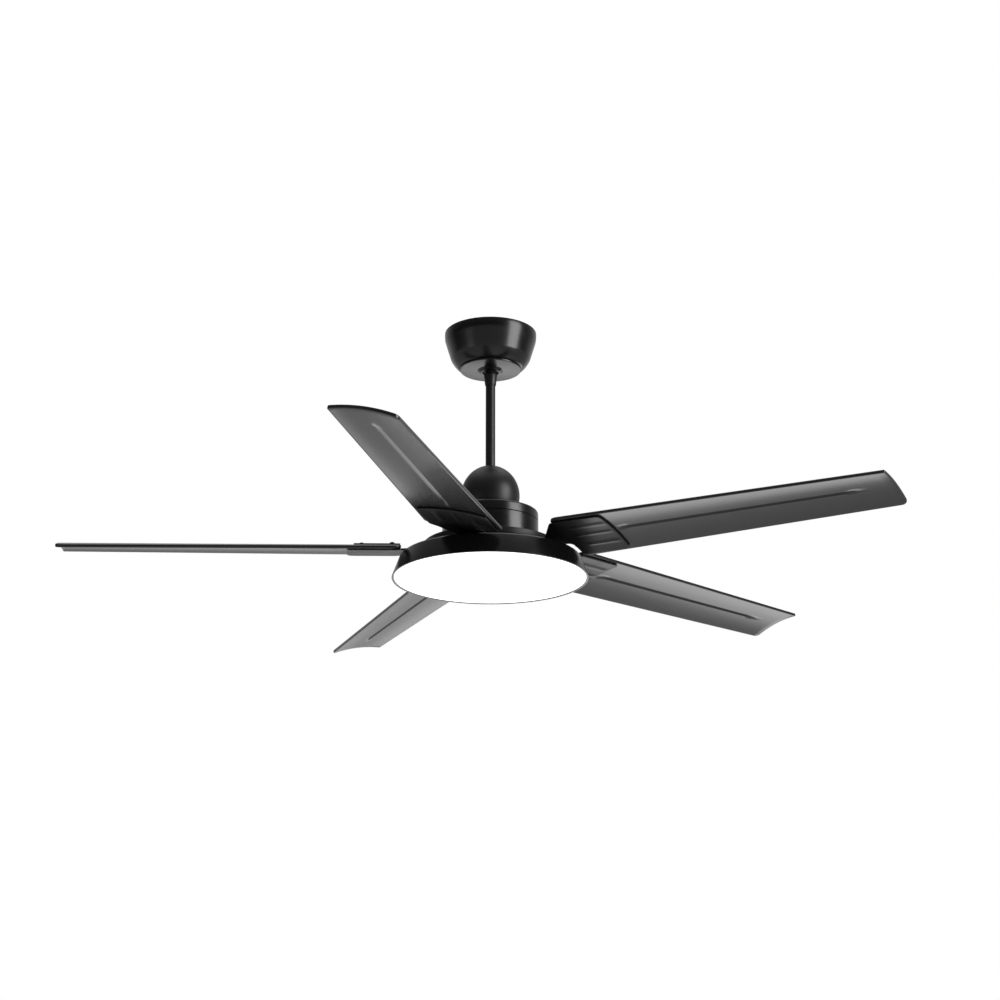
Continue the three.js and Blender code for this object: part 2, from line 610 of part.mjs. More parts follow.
/** Evenly spaced distances, both ends included. */
const spaced = (start, end, steps) => Array.from({ length: steps + 1 },
  (_, i) => THREE.MathUtils.lerp(start, end, i / steps));

/** A plate mapped onto a curved surface: place(x, t, h) gives its points at each station x. */
function sheet({ stations, half, thickness, above = 0, across, place }) {
  const steps = stations.length - 1;
  const flat = new THREE.BoxGeometry(1, 2 * half, thickness, steps, across, 1).translate(0.5, 0, above);
  const points = flat.attributes.position;
  for (let i = 0; i < points.count; i += 1) {
    const x = stations[Math.round(points.getX(i) * steps)];
    points.setXYZ(i, ...place(x, points.getY(i), points.getZ(i)));
  }
  return solid(flat);
}

/** An outline as a cutter that is taller than any blade or bracket. */
const tall = (shape) => solid(prism(shape, bladePlane - BLADE.axisWidth, bladePlane + BLADE.axisWidth));

/** A hole for each stud from a height over the blade's middle surface up through the blade. */
const studHoles = (from) => CLAMP.studs.map(([x, t]) => {
  const [, y, z] = onBlade(x, t, 0);
  return solid(cylinder(BOLT.shank + BOLT_SLACK, z + from, z + BLADE.thickness + PAST, x, y));
});

function blade() {
  const plate = sheet({
    stations: spaced(BLADE.rootX - PAST, tipX + PAST, 3), half: halfWidth(0),
    thickness: BLADE.thickness, across: ARCH_STEPS, place: onBlade,
  });
  const side = (x, sign) => BLADE.shift + sign * halfWidth(x) * Math.cos(pitchAt(x));
  const planform = outline([
    [BLADE.rootX, side(BLADE.rootX, -1), BLADE.rootCorner], [tipX, side(tipX, -1), BLADE.sharpTipCorner],
    [tipX, side(tipX, 1), BLADE.tipCorner], [BLADE.rootX, side(BLADE.rootX, 1), BLADE.rootCorner],
  ]);
  const rib = sheet({
    stations: [RIB.start, RIB.end], half: RIB.width / 2, thickness: 2 * RIB.depth,
    above: -BLADE.thickness / 2, across: 1, place: onBlade,
  });
  return cut(plate.intersect(tall(planform)), [rib, ...studHoles(-BLADE.thickness - PAST)]);
}

const neckEnd = BLADE.rootX - 2 * PAST; // here the bracket has reached the blade's pitch and arch

/** Under the flange the bracket is flat; it then twists into the blade's pitch and arch. */
function onBracket(x, t, h) {
  const share = THREE.MathUtils.smoothstep(x, ARM.tongueEnd, neckEnd);
  const drop = (BLADE.thickness + ARM.plate) / 2 + SEAT;
  const flat = [x, t, tongueTop - ARM.plate / 2 + h];
  const fitted = onBlade(x, t, h - drop);
  return flat.map((value, i) => THREE.MathUtils.lerp(value, fitted[i], share));
}

function bladeBracket() {
  const plate = sheet({
    stations: [ARM.tongueStart - PAST, ...spaced(ARM.tongueEnd, neckEnd, 3), ARM.padEnd + PAST],
    half: halfWidth(0), thickness: ARM.plate, across: ARCH_STEPS, place: onBracket,
  });
  const { tongueStart, tongueHalf, tongueEnd, padStart, padEnd, padHalf, neckInner } = ARM;
  const { corner, tongueCorner } = ARM;
  const middle = BLADE.shift;
  const planform = outline([
    [tongueStart, -tongueHalf, tongueCorner], [tongueEnd, -tongueHalf - ARM.tongueFlare, corner],
    [padStart, middle - padHalf, corner], [padEnd, middle - padHalf, corner],
    [padEnd, middle + padHalf, corner], [padStart + ARM.rearSetBack, middle + padHalf, corner],
    [neckEnd, neckInner, corner], [tongueEnd, tongueHalf, corner / 2],
    [tongueStart, tongueHalf, tongueCorner],
  ]);
  const screwHoles = [-1, 1].map((side) => solid(cylinder(BOLT.shank + BOLT_SLACK,
    tongueBottom - PAST, tongueTop + PAST, ARM.screwX, side * ARM.screwHalfSpacing)));
  const threads = studHoles(-BLADE.thickness / 2 - SEAT - ARM.plate * ARM.threadShare);
  return cut(plate.intersect(tall(planform)), [...screwHoles, ...threads]);
}

/** Washer plate and two screws that hold a bracket to the flange, from below. */
function bracketScrews() {
  const plateTop = tongueBottom - SEAT;
  const plateBottom = plateTop - BOLT.washer;
  const { screwX, screwHalfSpacing } = ARM;
  const reach = BOLT.head + BOLT.washerMargin;
  const washer = solid(prism(roundedRectangle(reach, screwHalfSpacing + reach, BOLT.washerCorner),
    plateBottom, plateTop)).translate([screwX, 0, 0]);
  const middle = (plateTop + plateBottom) / 2;
  const screws = [-1, 1].flatMap((side) => [
    solid(cylinder(BOLT.head, plateBottom - BOLT.headHeight, middle, screwX, side * screwHalfSpacing)),
    solid(cylinder(BOLT.shank, middle, flangeTop - PAST, screwX, side * screwHalfSpacing)),
  ]);
  return join([washer, ...screws]);
}

/** Strip on top of the blade with the three screws that go through it into the bracket. */
function bladeClamp() {
  const strip = sheet({
    stations: [CLAMP.start, CLAMP.end], half: CLAMP.half, thickness: CLAMP.sheet,
    above: (BLADE.thickness + CLAMP.sheet) / 2 + SEAT, across: 2, place: onBlade,
  });
  const middle = (CLAMP.start + CLAMP.end) / 2;
  const shape = roundedRectangle((CLAMP.end - CLAMP.start) / 2 - CLAMP.trim / 2,
    CLAMP.half - CLAMP.trim, CLAMP.corner);
  const trimmed = strip.intersect(tall(shape).translate([middle, BLADE.shift, 0]));
  const screws = CLAMP.studs.flatMap(([x, t]) => {
    const [, y, z] = onBlade(x, t, 0);
    const shankBottom = z - BLADE.thickness / 2 - SEAT - ARM.plate * (1 - ARM.threadShare);
    const headBottom = z + BLADE.thickness / 2 + CLAMP.sheet;
    return [solid(cylinder(BOLT.shank, shankBottom, headBottom, x, y)),
      solid(cylinder(BOLT.head, headBottom - BOLT_SLACK, headBottom + BOLT.headHeight, x, y))];
  });
  return join([trimmed, ...screws]);
}

function addBlades(parent) {
  const shapes = [['blade_bracket', bladeBracket(), SATIN_BLACK], ['blade', blade(), BLADE_BLACK],
    ['blade_clamp', bladeClamp(), SATIN_BLACK], ['bracket_screws', bracketScrews(), ZINC]];
  for (let i = 0; i < BLADE_COUNT; i += 1) {
    const arm = new THREE.Group();
    arm.rotation.z = radians(FIRST_BLADE_ANGLE + (360 * i) / BLADE_COUNT);
    parent.add(arm);
    shapes.forEach(([name, shape, look]) => add(`${name}_${i + 1}`, shape, look, arm));
  }
}

// ---------------------------------------------------------------------------------------------
// Light
// ---------------------------------------------------------------------------------------------
/** Outer radius of the flared lamp wall at a height. */
const lampRadius = (z) => THREE.MathUtils.lerp(LAMP.topRadius, LAMP.rimRadius,
  (lampTop - z) / LAMP.height);
const diffuserBottom = lampBottom + DIFFUSER.recess;
const diffuserTop = diffuserBottom + DIFFUSER.sheet;
const diffuserRadius = LAMP.rimRadius - LAMP.lip;
const lugBottom = diffuserTop + DIFFUSER.collarHeight - LUG.height;
const collarOuter = DIFFUSER.collarRadius + DIFFUSER.collarWall;

/** A slice of a ring, spread either side of +X. */
function ringSlice(inner, outer, bottom, top, spread) {
  const shape = new THREE.Shape();
  const half = radians(spread / 2);
  shape.absarc(0, 0, outer, -half, half, false);
  shape.absarc(0, 0, inner, half, -half, true);
  return solid(prism(shape, bottom, top, 3));
}

function lampHousing() {
  const { wall, shoulder, opening, topRadius, rimRadius } = LAMP;
  const rimTop = diffuserTop + SEAT;
  const body = solid(lathe([
    [diffuserRadius + 2 * SEAT, lampBottom], [rimRadius, lampBottom],
    [lampRadius(lampTop - shoulder), lampTop - shoulder],
    [topRadius - shoulder, lampTop],
    [opening, lampTop], [opening, lampTop - wall], [topRadius - shoulder - wall / 2, lampTop - wall],
    [lampRadius(lampTop - shoulder) - wall, lampTop - shoulder - wall / 2],
    [lampRadius(rimTop) - wall, rimTop], [diffuserRadius + 2 * SEAT, rimTop],
    [diffuserRadius + 2 * SEAT, lampBottom],
  ], LARGE));
  const tabTop = lugBottom - SEAT;
  const tab = ringSlice(collarOuter + RUNNING, lampRadius(tabTop) - wall / 2, tabTop - LUG.height,
    tabTop, LUG.spread);
  const screwHole = solid(cylinder(BOLT.shank + BOLT_SLACK, lampTop - wall - PAST, lampTop + PAST,
    MOUNT_PLATE.screwCircle, 0));
  return cut(join([body, ...turned(tab, LUG.count)]), turned(screwHole, 3, 90));
}

function diffuser() {
  const { bevel, collarRadius, collarWall, collarHeight } = DIFFUSER;
  const disc = solid(lathe([[0, diffuserBottom], [diffuserRadius - bevel, diffuserBottom],
    [diffuserRadius, diffuserBottom + bevel], [diffuserRadius, diffuserTop], [0, diffuserTop]], LARGE));
  const collar = solid(ring(collarRadius, collarOuter, diffuserTop - SEAT,
    diffuserTop + collarHeight, LARGE));
  const lug = ringSlice(collarOuter - collarWall / 2, collarOuter + LUG.reach, lugBottom,
    lugBottom + LUG.height, LUG.spread - LUG.ease);
  return join([disc, collar, ...turned(lug, LUG.count)]);
}

function ledBoard() {
  const top = lampTop - BOARD.underTop;
  const bottom = top - BOARD.sheet;
  const disc = solid(ring(BOARD.opening, BOARD.radius, bottom, top, MEDIUM));
  const half = BOARD.chipSize / 2;
  const chips = BOARD.chipRings.flatMap(([r, count]) => turned(solid(
    box(r - half, r + half, -half, half, bottom - BOARD.chipHeight, bottom + SEAT)), count));
  return join([disc, ...chips]);
}

function mountPlate() {
  const bottom = lampTop + SEAT;
  const disc = solid(ring(SHAFT.radius + SEAT, MOUNT_PLATE.radius, bottom,
    bottom + MOUNT_PLATE.sheet, MEDIUM));
  const hole = solid(cylinder(BOLT.shank + BOLT_SLACK, bottom - PAST,
    bottom + MOUNT_PLATE.sheet + PAST, MOUNT_PLATE.screwCircle, 0));
  return cut(disc, turned(hole, 3, 90));
}

function lampScrew() {
  const headTop = lampTop - LAMP.wall - SEAT;
  const x = MOUNT_PLATE.screwCircle;
  return join([
    solid(cylinder(BOLT.head, headTop - BOLT.headHeight, headTop, x, 0)),
    solid(cylinder(BOLT.shank, headTop - BOLT.headHeight / 2, lampTop + MOUNT_PLATE.sheet, x, 0)),
  ]);
}

/** Lead from the top of the rod, past the pins, down the hollow shaft and across to the driver. */
function wireBundle() {
  const y = (YOKE_PIN.radius + SHAFT.bore) / 2;
  const { bend } = WIRE;
  const turn = shaftBottom - WIRE.belowShaft;
  const run = turn - bend / 2;
  const path = new THREE.CatmullRomCurve3([
    [0, rodTop + WIRE.topGap], [0, turn + 2 * bend], [0, turn + bend], [1, turn],
    [bend / 2, run], [2 * bend, run], [DRIVER.start - SEAT, run],
  ].map(([x, z]) => new THREE.Vector3(x, y, z)), false, 'centripetal');
  const section = new THREE.Shape();
  section.absarc(0, 0, WIRE.radius, 0, 2 * Math.PI, false);
  const steps = Math.round(path.getLength() / WIRE.step);
  return new THREE.ExtrudeGeometry(section, { steps, curveSegments: 4, extrudePath: path });
}

function addLight(parent) {
  add('light_mount_plate', mountPlate(), ZINC, parent);
  const nutBottom = lampTop - SHAFT_NUT.height;
  add('shaft_nut', solid(cylinder(SHAFT_NUT.radius, nutBottom, lampTop))
    .subtract(solid(cylinder(SHAFT.radius + SEAT, nutBottom - PAST, lampTop + PAST, 0, 0, SMALL))),
  ZINC, parent);
  add('lamp_housing', lampHousing(), GLOSS_BLACK, parent);
  ['a', 'b', 'c'].forEach((letter, i) => add(`lamp_screw_${letter}`,
    lampScrew().rotate([0, 0, 90 + 120 * i]), ZINC, parent));
  add('led_board', ledBoard(), BOARD_WHITE, parent);
  const driverTop = lampTop - LAMP.wall - DRIVER.standOff;
  const halfDriver = DRIVER.width / 2;
  add('led_driver', box(DRIVER.start, DRIVER.start + DRIVER.length, -halfDriver, halfDriver,
    driverTop - DRIVER.height, driverTop), DARK_PLASTIC, parent);
  add('diffuser', diffuser(), OPAL, parent);
  add('wire_bundle', wireBundle(), DARK_PLASTIC, parent);
}

// ---------------------------------------------------------------------------------------------
const hangingUnit = new THREE.Group();
const rotor = new THREE.Group();
fan.add(hangingUnit, rotor);
addCeilingSide();
addCoupling(hangingUnit);
addFixedMotor(hangingUnit);
addLight(hangingUnit);
addRotor(rotor);
addBlades(rotor);

export default fan;
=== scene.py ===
import logging
import math
from dataclasses import dataclass, field
from enum import Enum
from typing import Any, Callable, Iterable, Sequence

import bmesh
import bpy
from mathutils import Matrix, Vector


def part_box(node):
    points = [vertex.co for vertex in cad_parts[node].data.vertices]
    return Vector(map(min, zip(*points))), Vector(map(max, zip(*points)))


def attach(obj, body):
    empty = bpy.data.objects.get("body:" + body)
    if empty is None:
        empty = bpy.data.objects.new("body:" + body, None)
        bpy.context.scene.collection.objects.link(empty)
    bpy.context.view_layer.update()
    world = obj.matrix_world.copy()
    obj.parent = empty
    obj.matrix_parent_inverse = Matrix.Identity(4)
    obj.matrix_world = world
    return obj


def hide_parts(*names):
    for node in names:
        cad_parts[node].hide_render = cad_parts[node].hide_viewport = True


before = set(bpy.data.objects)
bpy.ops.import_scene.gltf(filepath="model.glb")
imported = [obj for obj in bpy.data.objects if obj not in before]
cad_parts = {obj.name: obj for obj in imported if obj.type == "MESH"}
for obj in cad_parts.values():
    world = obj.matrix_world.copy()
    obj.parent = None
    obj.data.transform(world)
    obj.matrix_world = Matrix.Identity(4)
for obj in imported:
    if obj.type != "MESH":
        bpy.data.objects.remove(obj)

logging.basicConfig(level=logging.INFO, format="%(name)s: %(message)s")
log = logging.getLogger("ceiling_fan")

MM = 0.001  # every size in this script is in millimetres until a piece is handed over
NO_MATERIAL = -1
Point = tuple[float, float]
Corner = tuple[float, float, float]


# ---------------------------------------------------------------------------------------------
# Small helpers
# ---------------------------------------------------------------------------------------------
def linear(colour: str) -> tuple[float, float, float, float]:
    """Turns an sRGB hex colour into linear RGBA.

    Args:
        colour: six hex digits, such as "1a1a1b".

    Returns:
        Linear red, green, blue and an alpha of 1.
    """
    channels = [int(colour[i:i + 2], 16) / 255 for i in (0, 2, 4)]
    turned = [c / 12.92 if c <= 0.04045 else ((c + 0.055) / 1.055) ** 2.4 for c in channels]
    return (*turned, 1.0)


def lerp(start: float, end: float, share: float) -> float:
    """Returns the value at a share of the way from start to end."""
    return start + (end - start) * share


def smoothstep(value: float, low: float, high: float) -> float:
    """Eases from 0 to 1 as value goes from low to high.

    Args:
        value: the number to place.
        low: where the result is still 0.
        high: where the result has reached 1.

    Returns:
        The eased share.
    """
    share = min(max((value - low) / (high - low), 0.0), 1.0)
    return share * share * (3 - 2 * share)


def spaced(start: float, end: float, steps: int) -> list[float]:
    """Returns evenly spaced values, both ends included."""
    return [lerp(start, end, i / steps) for i in range(steps + 1)]


class Body(Enum):
    """The bodies of the fan that turn or hang on their own."""

    CEILING_MOUNT = "ceiling_mount"
    SWIVEL_BALL = "swivel_ball"
    HANGING_UNIT = "hanging_unit"
    LIGHT_DIFFUSER = "light_diffuser"
    ROTOR = "rotor"


class Slot(Enum):
    """The record's material slots."""

    ZINC = "zinc_plated_steel"
    GLOSS_BLACK = "gloss_black_paint"
    SATIN_BLACK = "satin_black_paint"
    BLADE = "blade_black_abs"
    MACHINED = "machined_steel"
    LAMINATED = "electrical_steel"
    COPPER = "enamelled_copper"
    OPAL = "opal_acrylic"
    BOARD = "white_board"
    DARK_PLASTIC = "dark_plastic"
    PALE_PLASTIC = "pale_plastic"


@dataclass(frozen=True)
class Extent:
    """The box of one CAD node, in millimetres."""

    low: Vector
    high: Vector

    @classmethod
    def of(cls, node: str) -> "Extent":
        """Reads the box of a node from the frame."""
        low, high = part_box(node)
        return cls(Vector(low) / MM, Vector(high) / MM)

    @property
    def radius(self) -> float:
        """Half the width of the node along X."""
        return (self.high.x - self.low.x) / 2

    @property
    def top(self) -> float:
        """The height of the node's highest point."""
        return self.high.z

    @property
    def bottom(self) -> float:
        """The height of the node's lowest point."""
        return self.low.z


# ---------------------------------------------------------------------------------------------
# Finishes
# ---------------------------------------------------------------------------------------------
def add_node(tree: bpy.types.NodeTree, kind: str, sockets: dict[Any, Any] | None = None,
             **settings: Any) -> bpy.types.Node:
    """Adds a shader node, sets it and links it.

    Args:
        tree: the node tree that gets the node.
        kind: the node's type name.
        sockets: an input name or number to its value, or to the output that feeds it.
        settings: the node's own properties, such as blend_type.

    Returns:
        The new node.
    """
    made = tree.nodes.new(kind)
    for name, value in settings.items():
        setattr(made, name, value)
    for name, value in (sockets or {}).items():
        if isinstance(value, bpy.types.NodeSocket):
            tree.links.new(value, made.inputs[name])
        else:
            made.inputs[name].default_value = value
    return made


def pattern_scale(size_mm: float) -> float:
    """Returns the texture scale that repeats about once in size_mm on Object coordinates."""
    return 1.0 / (size_mm * MM)


@dataclass(frozen=True)
class Finish:
    """One real surface: what it is made of and how it was made."""

    name: str
    slot: Slot
    colour: str
    roughness: float
    metallic: float = 0.0
    ior: float = 1.5

    def material(self) -> bpy.types.Material:
        """Makes the finish's material once and returns it each time."""
        known = bpy.data.materials.get(self.name)
        if known is not None:
            return known
        made = bpy.data.materials.new(self.name)
        made.use_nodes = True
        tree = made.node_tree
        tree.nodes.clear()
        shader = add_node(tree, "ShaderNodeBsdfPrincipled", {
            "Base Color": linear(self.colour), "Roughness": self.roughness,
            "Metallic": self.metallic})
        if self.metallic < 0.5:
            shader.inputs["IOR"].default_value = self.ior
        add_node(tree, "ShaderNodeOutputMaterial", {"Surface": shader.outputs[0]})
        place = add_node(tree, "ShaderNodeTexCoord").outputs["Object"]
        self.dress(tree, place, shader)
        return made

    def dress(self, tree: bpy.types.NodeTree, place: bpy.types.NodeSocket,
              shader: bpy.types.Node) -> None:
        """Adds the finish's patterns. A finish without one leaves this out."""

    def tint(self, tree: bpy.types.NodeTree, shader: bpy.types.Node,
             share: bpy.types.NodeSocket, other: str) -> None:
        """Mixes a second colour into the surface by a pattern."""
        mix = add_node(tree, "ShaderNodeMix", {
            0: share, 6: linear(self.colour), 7: linear(other)}, data_type="RGBA")
        tree.links.new(mix.outputs[2], shader.inputs["Base Color"])

    def vary_roughness(self, tree: bpy.types.NodeTree, shader: bpy.types.Node,
                       share: bpy.types.NodeSocket, low: float, high: float) -> None:
        """Moves the roughness between two values by a pattern."""
        turned = add_node(tree, "ShaderNodeMapRange", {
            "Value": share, "To Min": low, "To Max": high})
        tree.links.new(turned.outputs[0], shader.inputs["Roughness"])

    def emboss(self, tree: bpy.types.NodeTree, shader: bpy.types.Node,
               height: bpy.types.NodeSocket, depth_mm: float, strength: float) -> None:
        """Raises a pattern off the surface by its real depth."""
        bump = add_node(tree, "ShaderNodeBump", {
            "Height": height, "Distance": depth_mm * MM, "Strength": strength})
        tree.links.new(bump.outputs[0], shader.inputs["Normal"])


@dataclass(frozen=True)
class PowderCoat(Finish):
    """Black polyester powder, sprayed on steel and baked.

    It flows out in the oven, which leaves the faint dimples of orange peel in the reflections
    and a slightly cloudy gloss.
    """

    peel_mm: float = 2.4
    peel_depth_mm: float = 0.02
    cloud_mm: float = 38.0
    dust: str = "0f0f10"

    def dress(self, tree: bpy.types.NodeTree, place: bpy.types.NodeSocket,
              shader: bpy.types.Node) -> None:
        """Adds orange peel, cloudy gloss and a breath of dust."""
        peel = add_node(tree, "ShaderNodeTexNoise", {
            "Vector": place, "Scale": pattern_scale(self.peel_mm), "Detail": 1.5,
            "Roughness": 0.45})
        cloud = add_node(tree, "ShaderNodeTexNoise", {
            "Vector": place, "Scale": pattern_scale(self.cloud_mm), "Detail": 3.0})
        self.vary_roughness(tree, shader, cloud.outputs[0],
                            self.roughness * 0.78, self.roughness * 1.28)
        self.tint(tree, shader, cloud.outputs[0], self.dust)
        self.emboss(tree, shader, peel.outputs[0], self.peel_depth_mm, 0.5)


@dataclass(frozen=True)
class MouldedBlade(Finish):
    """Black ABS, injection moulded in a spark-eroded tool.

    The tool leaves an even matt grain, and the melt that ran from root to tip leaves long,
    faint streaks in the sheen. The real grain is about 0.15 mm and is drawn at 0.9 mm.
    """

    grain_mm: float = 0.9
    grain_depth_mm: float = 0.012
    flow_across_mm: float = 26.0
    flow_stretch: float = 9.0
    turn_degrees: float = 0.0

    def dress(self, tree: bpy.types.NodeTree, place: bpy.types.NodeSocket,
              shader: bpy.types.Node) -> None:
        """Adds the moulding grain and the flow streaks that run along the blade."""
        lengthwise = add_node(tree, "ShaderNodeMapping", {
            "Vector": place, "Rotation": (0.0, 0.0, -math.radians(self.turn_degrees))})
        squeezed = add_node(tree, "ShaderNodeMapping", {
            "Vector": lengthwise.outputs[0], "Scale": (1.0 / self.flow_stretch, 1.0, 1.0)})
        flow = add_node(tree, "ShaderNodeTexNoise", {
            "Vector": squeezed.outputs[0], "Scale": pattern_scale(self.flow_across_mm),
            "Detail": 4.0, "Roughness": 0.55})
        grain = add_node(tree, "ShaderNodeTexNoise", {
            "Vector": place, "Scale": pattern_scale(self.grain_mm), "Detail": 2.0})
        self.vary_roughness(tree, shader, flow.outputs[0],
                            self.roughness * 0.86, self.roughness * 1.16)
        self.tint(tree, shader, flow.outputs[0], "222224")
        self.emboss(tree, shader, grain.outputs[0], self.grain_depth_mm, 0.35)


@dataclass(frozen=True)
class ZincPlate(Finish):
    """Bright zinc, electroplated on pressed steel.

    It is a cool silver with a cloudy, faintly bluish bloom, over the fine draw lines of the
    rolled sheet.
    """

    line_mm: float = 0.7
    bloom_mm: float = 9.0

    def dress(self, tree: bpy.types.NodeTree, place: bpy.types.NodeSocket,
              shader: bpy.types.Node) -> None:
        """Adds the bloom and the rolling lines."""
        bloom = add_node(tree, "ShaderNodeTexNoise", {
            "Vector": place, "Scale": pattern_scale(self.bloom_mm), "Detail": 4.0})
        drawn = add_node(tree, "ShaderNodeMapping", {"Vector": place, "Scale": (0.04, 1.0, 1.0)})
        lines = add_node(tree, "ShaderNodeTexNoise", {
            "Vector": drawn.outputs[0], "Scale": pattern_scale(self.line_mm), "Detail": 2.0})
        self.tint(tree, shader, bloom.outputs[0], "a9b2bd")
        self.vary_roughness(tree, shader, bloom.outputs[0],
                            self.roughness * 0.75, self.roughness * 1.35)
        self.emboss(tree, shader, lines.outputs[0], 0.01, 0.4)


@dataclass(frozen=True)
class TurnedSteel(Finish):
    """Bright steel, turned on a lathe.

    The tool leaves fine rings round the axis, so the shine runs across them in streaks.
    """

    feed_mm: float = 0.5

    def dress(self, tree: bpy.types.NodeTree, place: bpy.types.NodeSocket,
              shader: bpy.types.Node) -> None:
        """Adds the turning marks."""
        rings = add_node(tree, "ShaderNodeTexWave", {
            "Vector": place, "Scale": pattern_scale(self.feed_mm) / 6.3, "Distortion": 0.6,
            "Detail": 1.0}, wave_type="BANDS", bands_direction="Z")
        stain = add_node(tree, "ShaderNodeTexNoise", {
            "Vector": place, "Scale": pattern_scale(7.0), "Detail": 3.0})
        self.vary_roughness(tree, shader, stain.outputs[0],
                            self.roughness * 0.8, self.roughness * 1.3)
        self.tint(tree, shader, stain.outputs[0], "8d9093")
        self.emboss(tree, shader, rings.outputs[1], 0.02, 0.5)


@dataclass(frozen=True)
class LaminatedSteel(Finish):
    """Electrical steel: thin punched sheets in a stack.

    The eye sees dull grey edges with a dark joint between each pair of sheets. Real sheets are
    0.5 mm, drawn at 1 mm.
    """

    sheet_mm: float = 1.0

    def dress(self, tree: bpy.types.NodeTree, place: bpy.types.NodeSocket,
              shader: bpy.types.Node) -> None:
        """Adds the joints between the sheets and a little heat tint."""
        stack = add_node(tree, "ShaderNodeTexWave", {
            "Vector": place, "Scale": pattern_scale(self.sheet_mm) / 6.3, "Distortion": 0.1},
            wave_type="BANDS", bands_direction="Z")
        joint = add_node(tree, "ShaderNodeMapRange", {
            "Value": stack.outputs[1], "From Min": 0.0, "From Max": 0.35,
            "To Min": 1.0, "To Max": 0.0})
        tarnish = add_node(tree, "ShaderNodeTexNoise", {
            "Vector": place, "Scale": pattern_scale(6.0), "Detail": 3.0})
        self.tint(tree, shader, joint.outputs[0], "1d1e20")
        self.vary_roughness(tree, shader, tarnish.outputs[0], 0.4, 0.62)
        self.emboss(tree, shader, stack.outputs[1], 0.08, 0.7)


@dataclass(frozen=True)
class EnamelledWire(Finish):
    """Copper wire under amber enamel, wound in layers.

    The turns show as fine round ridges with a wet gloss.
    """

    wire_mm: float = 0.9

    def dress(self, tree: bpy.types.NodeTree, place: bpy.types.NodeSocket,
              shader: bpy.types.Node) -> None:
        """Adds the turns of wire."""
        turns = add_node(tree, "ShaderNodeTexWave", {
            "Vector": place, "Scale": pattern_scale(self.wire_mm) / 6.3, "Distortion": 0.8,
            "Detail": 1.0}, wave_type="RINGS", rings_direction="Z")
        self.tint(tree, shader, turns.outputs[1], "c9773a")
        self.emboss(tree, shader, turns.outputs[1], 0.2, 0.8)
        shader.inputs["Coat Weight"].default_value = 0.6
        shader.inputs["Coat Roughness"].default_value = 0.12


@dataclass(frozen=True)
class LitOpal(Finish):
    """Opal acrylic sheet with the light switched on behind it.

    The filler spreads the light so evenly that only a slight fall towards the rim is left, with
    a smooth moulded gloss on top.
    """

    rim_radius_mm: float = 160.0
    glow: float = 1.35

    def dress(self, tree: bpy.types.NodeTree, place: bpy.types.NodeSocket,
              shader: bpy.types.Node) -> None:
        """Adds the glow, its fall towards the rim and a faint grain in the filler."""
        flat = add_node(tree, "ShaderNodeVectorMath", {
            0: place, 1: (1.0, 1.0, 0.0)}, operation="MULTIPLY")
        reach = add_node(tree, "ShaderNodeVectorMath", {0: flat.outputs[0]}, operation="LENGTH")
        rim = self.rim_radius_mm * MM
        fall = add_node(tree, "ShaderNodeMapRange", {
            "Value": reach.outputs["Value"], "From Min": rim * 0.9, "From Max": rim * 1.02})
        glow = add_node(tree, "ShaderNodeMix", {
            0: fall.outputs[0], 6: linear("ffffff"), 7: linear("e2e6ea")}, data_type="RGBA")
        tree.links.new(glow.outputs[2], shader.inputs["Emission Color"])
        shader.inputs["Emission Strength"].default_value = self.glow
        filler = add_node(tree, "ShaderNodeTexNoise", {
            "Vector": place, "Scale": pattern_scale(3.0), "Detail": 2.0})
        self.vary_roughness(tree, shader, filler.outputs[0], 0.26, 0.38)


@dataclass(frozen=True)
class FilledPlastic(Finish):
    """Nylon or a similar plastic, moulded with a light spark-eroded grain."""

    grain_mm: float = 1.1
    other: str = "26272a"

    def dress(self, tree: bpy.types.NodeTree, place: bpy.types.NodeSocket,
              shader: bpy.types.Node) -> None:
        """Adds the moulding grain and a soft mottle."""
        grain = add_node(tree, "ShaderNodeTexNoise", {
            "Vector": place, "Scale": pattern_scale(self.grain_mm), "Detail": 2.0})
        mottle = add_node(tree, "ShaderNodeTexNoise", {
            "Vector": place, "Scale": pattern_scale(12.0), "Detail": 3.0})
        self.tint(tree, shader, mottle.outputs[0], self.other)
        self.vary_roughness(tree, shader, mottle.outputs[0],
                            self.roughness * 0.85, self.roughness * 1.15)
        self.emboss(tree, shader, grain.outputs[0], 0.03, 0.5)


# Deep black with one soft, wide highlight: canopy and motor case.
GLOSS_BLACK = PowderCoat("gloss_black_powder_coat", Slot.GLOSS_BLACK, "070708", 0.24)
# The same gloss paint, its colour painted a shade lighter as painted light standing in for the lit
# floor that the pan faces.
LAMP_BLACK_PAINTED_FLOOR_LIGHT = PowderCoat("lamp_gloss_black_painted_floor_light", Slot.GLOSS_BLACK, "0e0e10", 0.24)
# Quiet sheen with no sharp reflections: rod, collar and dome.
SATIN_BLACK = PowderCoat("satin_black_powder_coat", Slot.SATIN_BLACK, "060607", 0.42,
                         peel_mm=1.2, peel_depth_mm=0.03, dust="0c0c0d")
# Almost no light comes back except along the pressed edges.
BRACKET_BLACK = PowderCoat("bracket_black_powder_coat", Slot.SATIN_BLACK, "08080a", 0.36,
                           peel_mm=1.8, dust="0e0e10", ior=1.4)
# Cold, bright and slightly cloudy.
ZINC = ZincPlate("bright_zinc_plate", Slot.ZINC, "c3c8cf", 0.3, metallic=1.0)
# Fine rings from the lathe stretch the highlights.
TURNED = TurnedSteel("turned_bright_steel", Slot.MACHINED, "b2b5b8", 0.28, metallic=1.0)
# Dull grey with the thin lines of stacked sheets.
LAMINATED = LaminatedSteel("stacked_electrical_steel", Slot.LAMINATED, "6d7074", 0.5,
                           metallic=1.0)
# Warm red-brown under clear enamel.
COPPER = EnamelledWire("enamelled_copper_wire", Slot.COPPER, "9c4f22", 0.3, metallic=1.0)
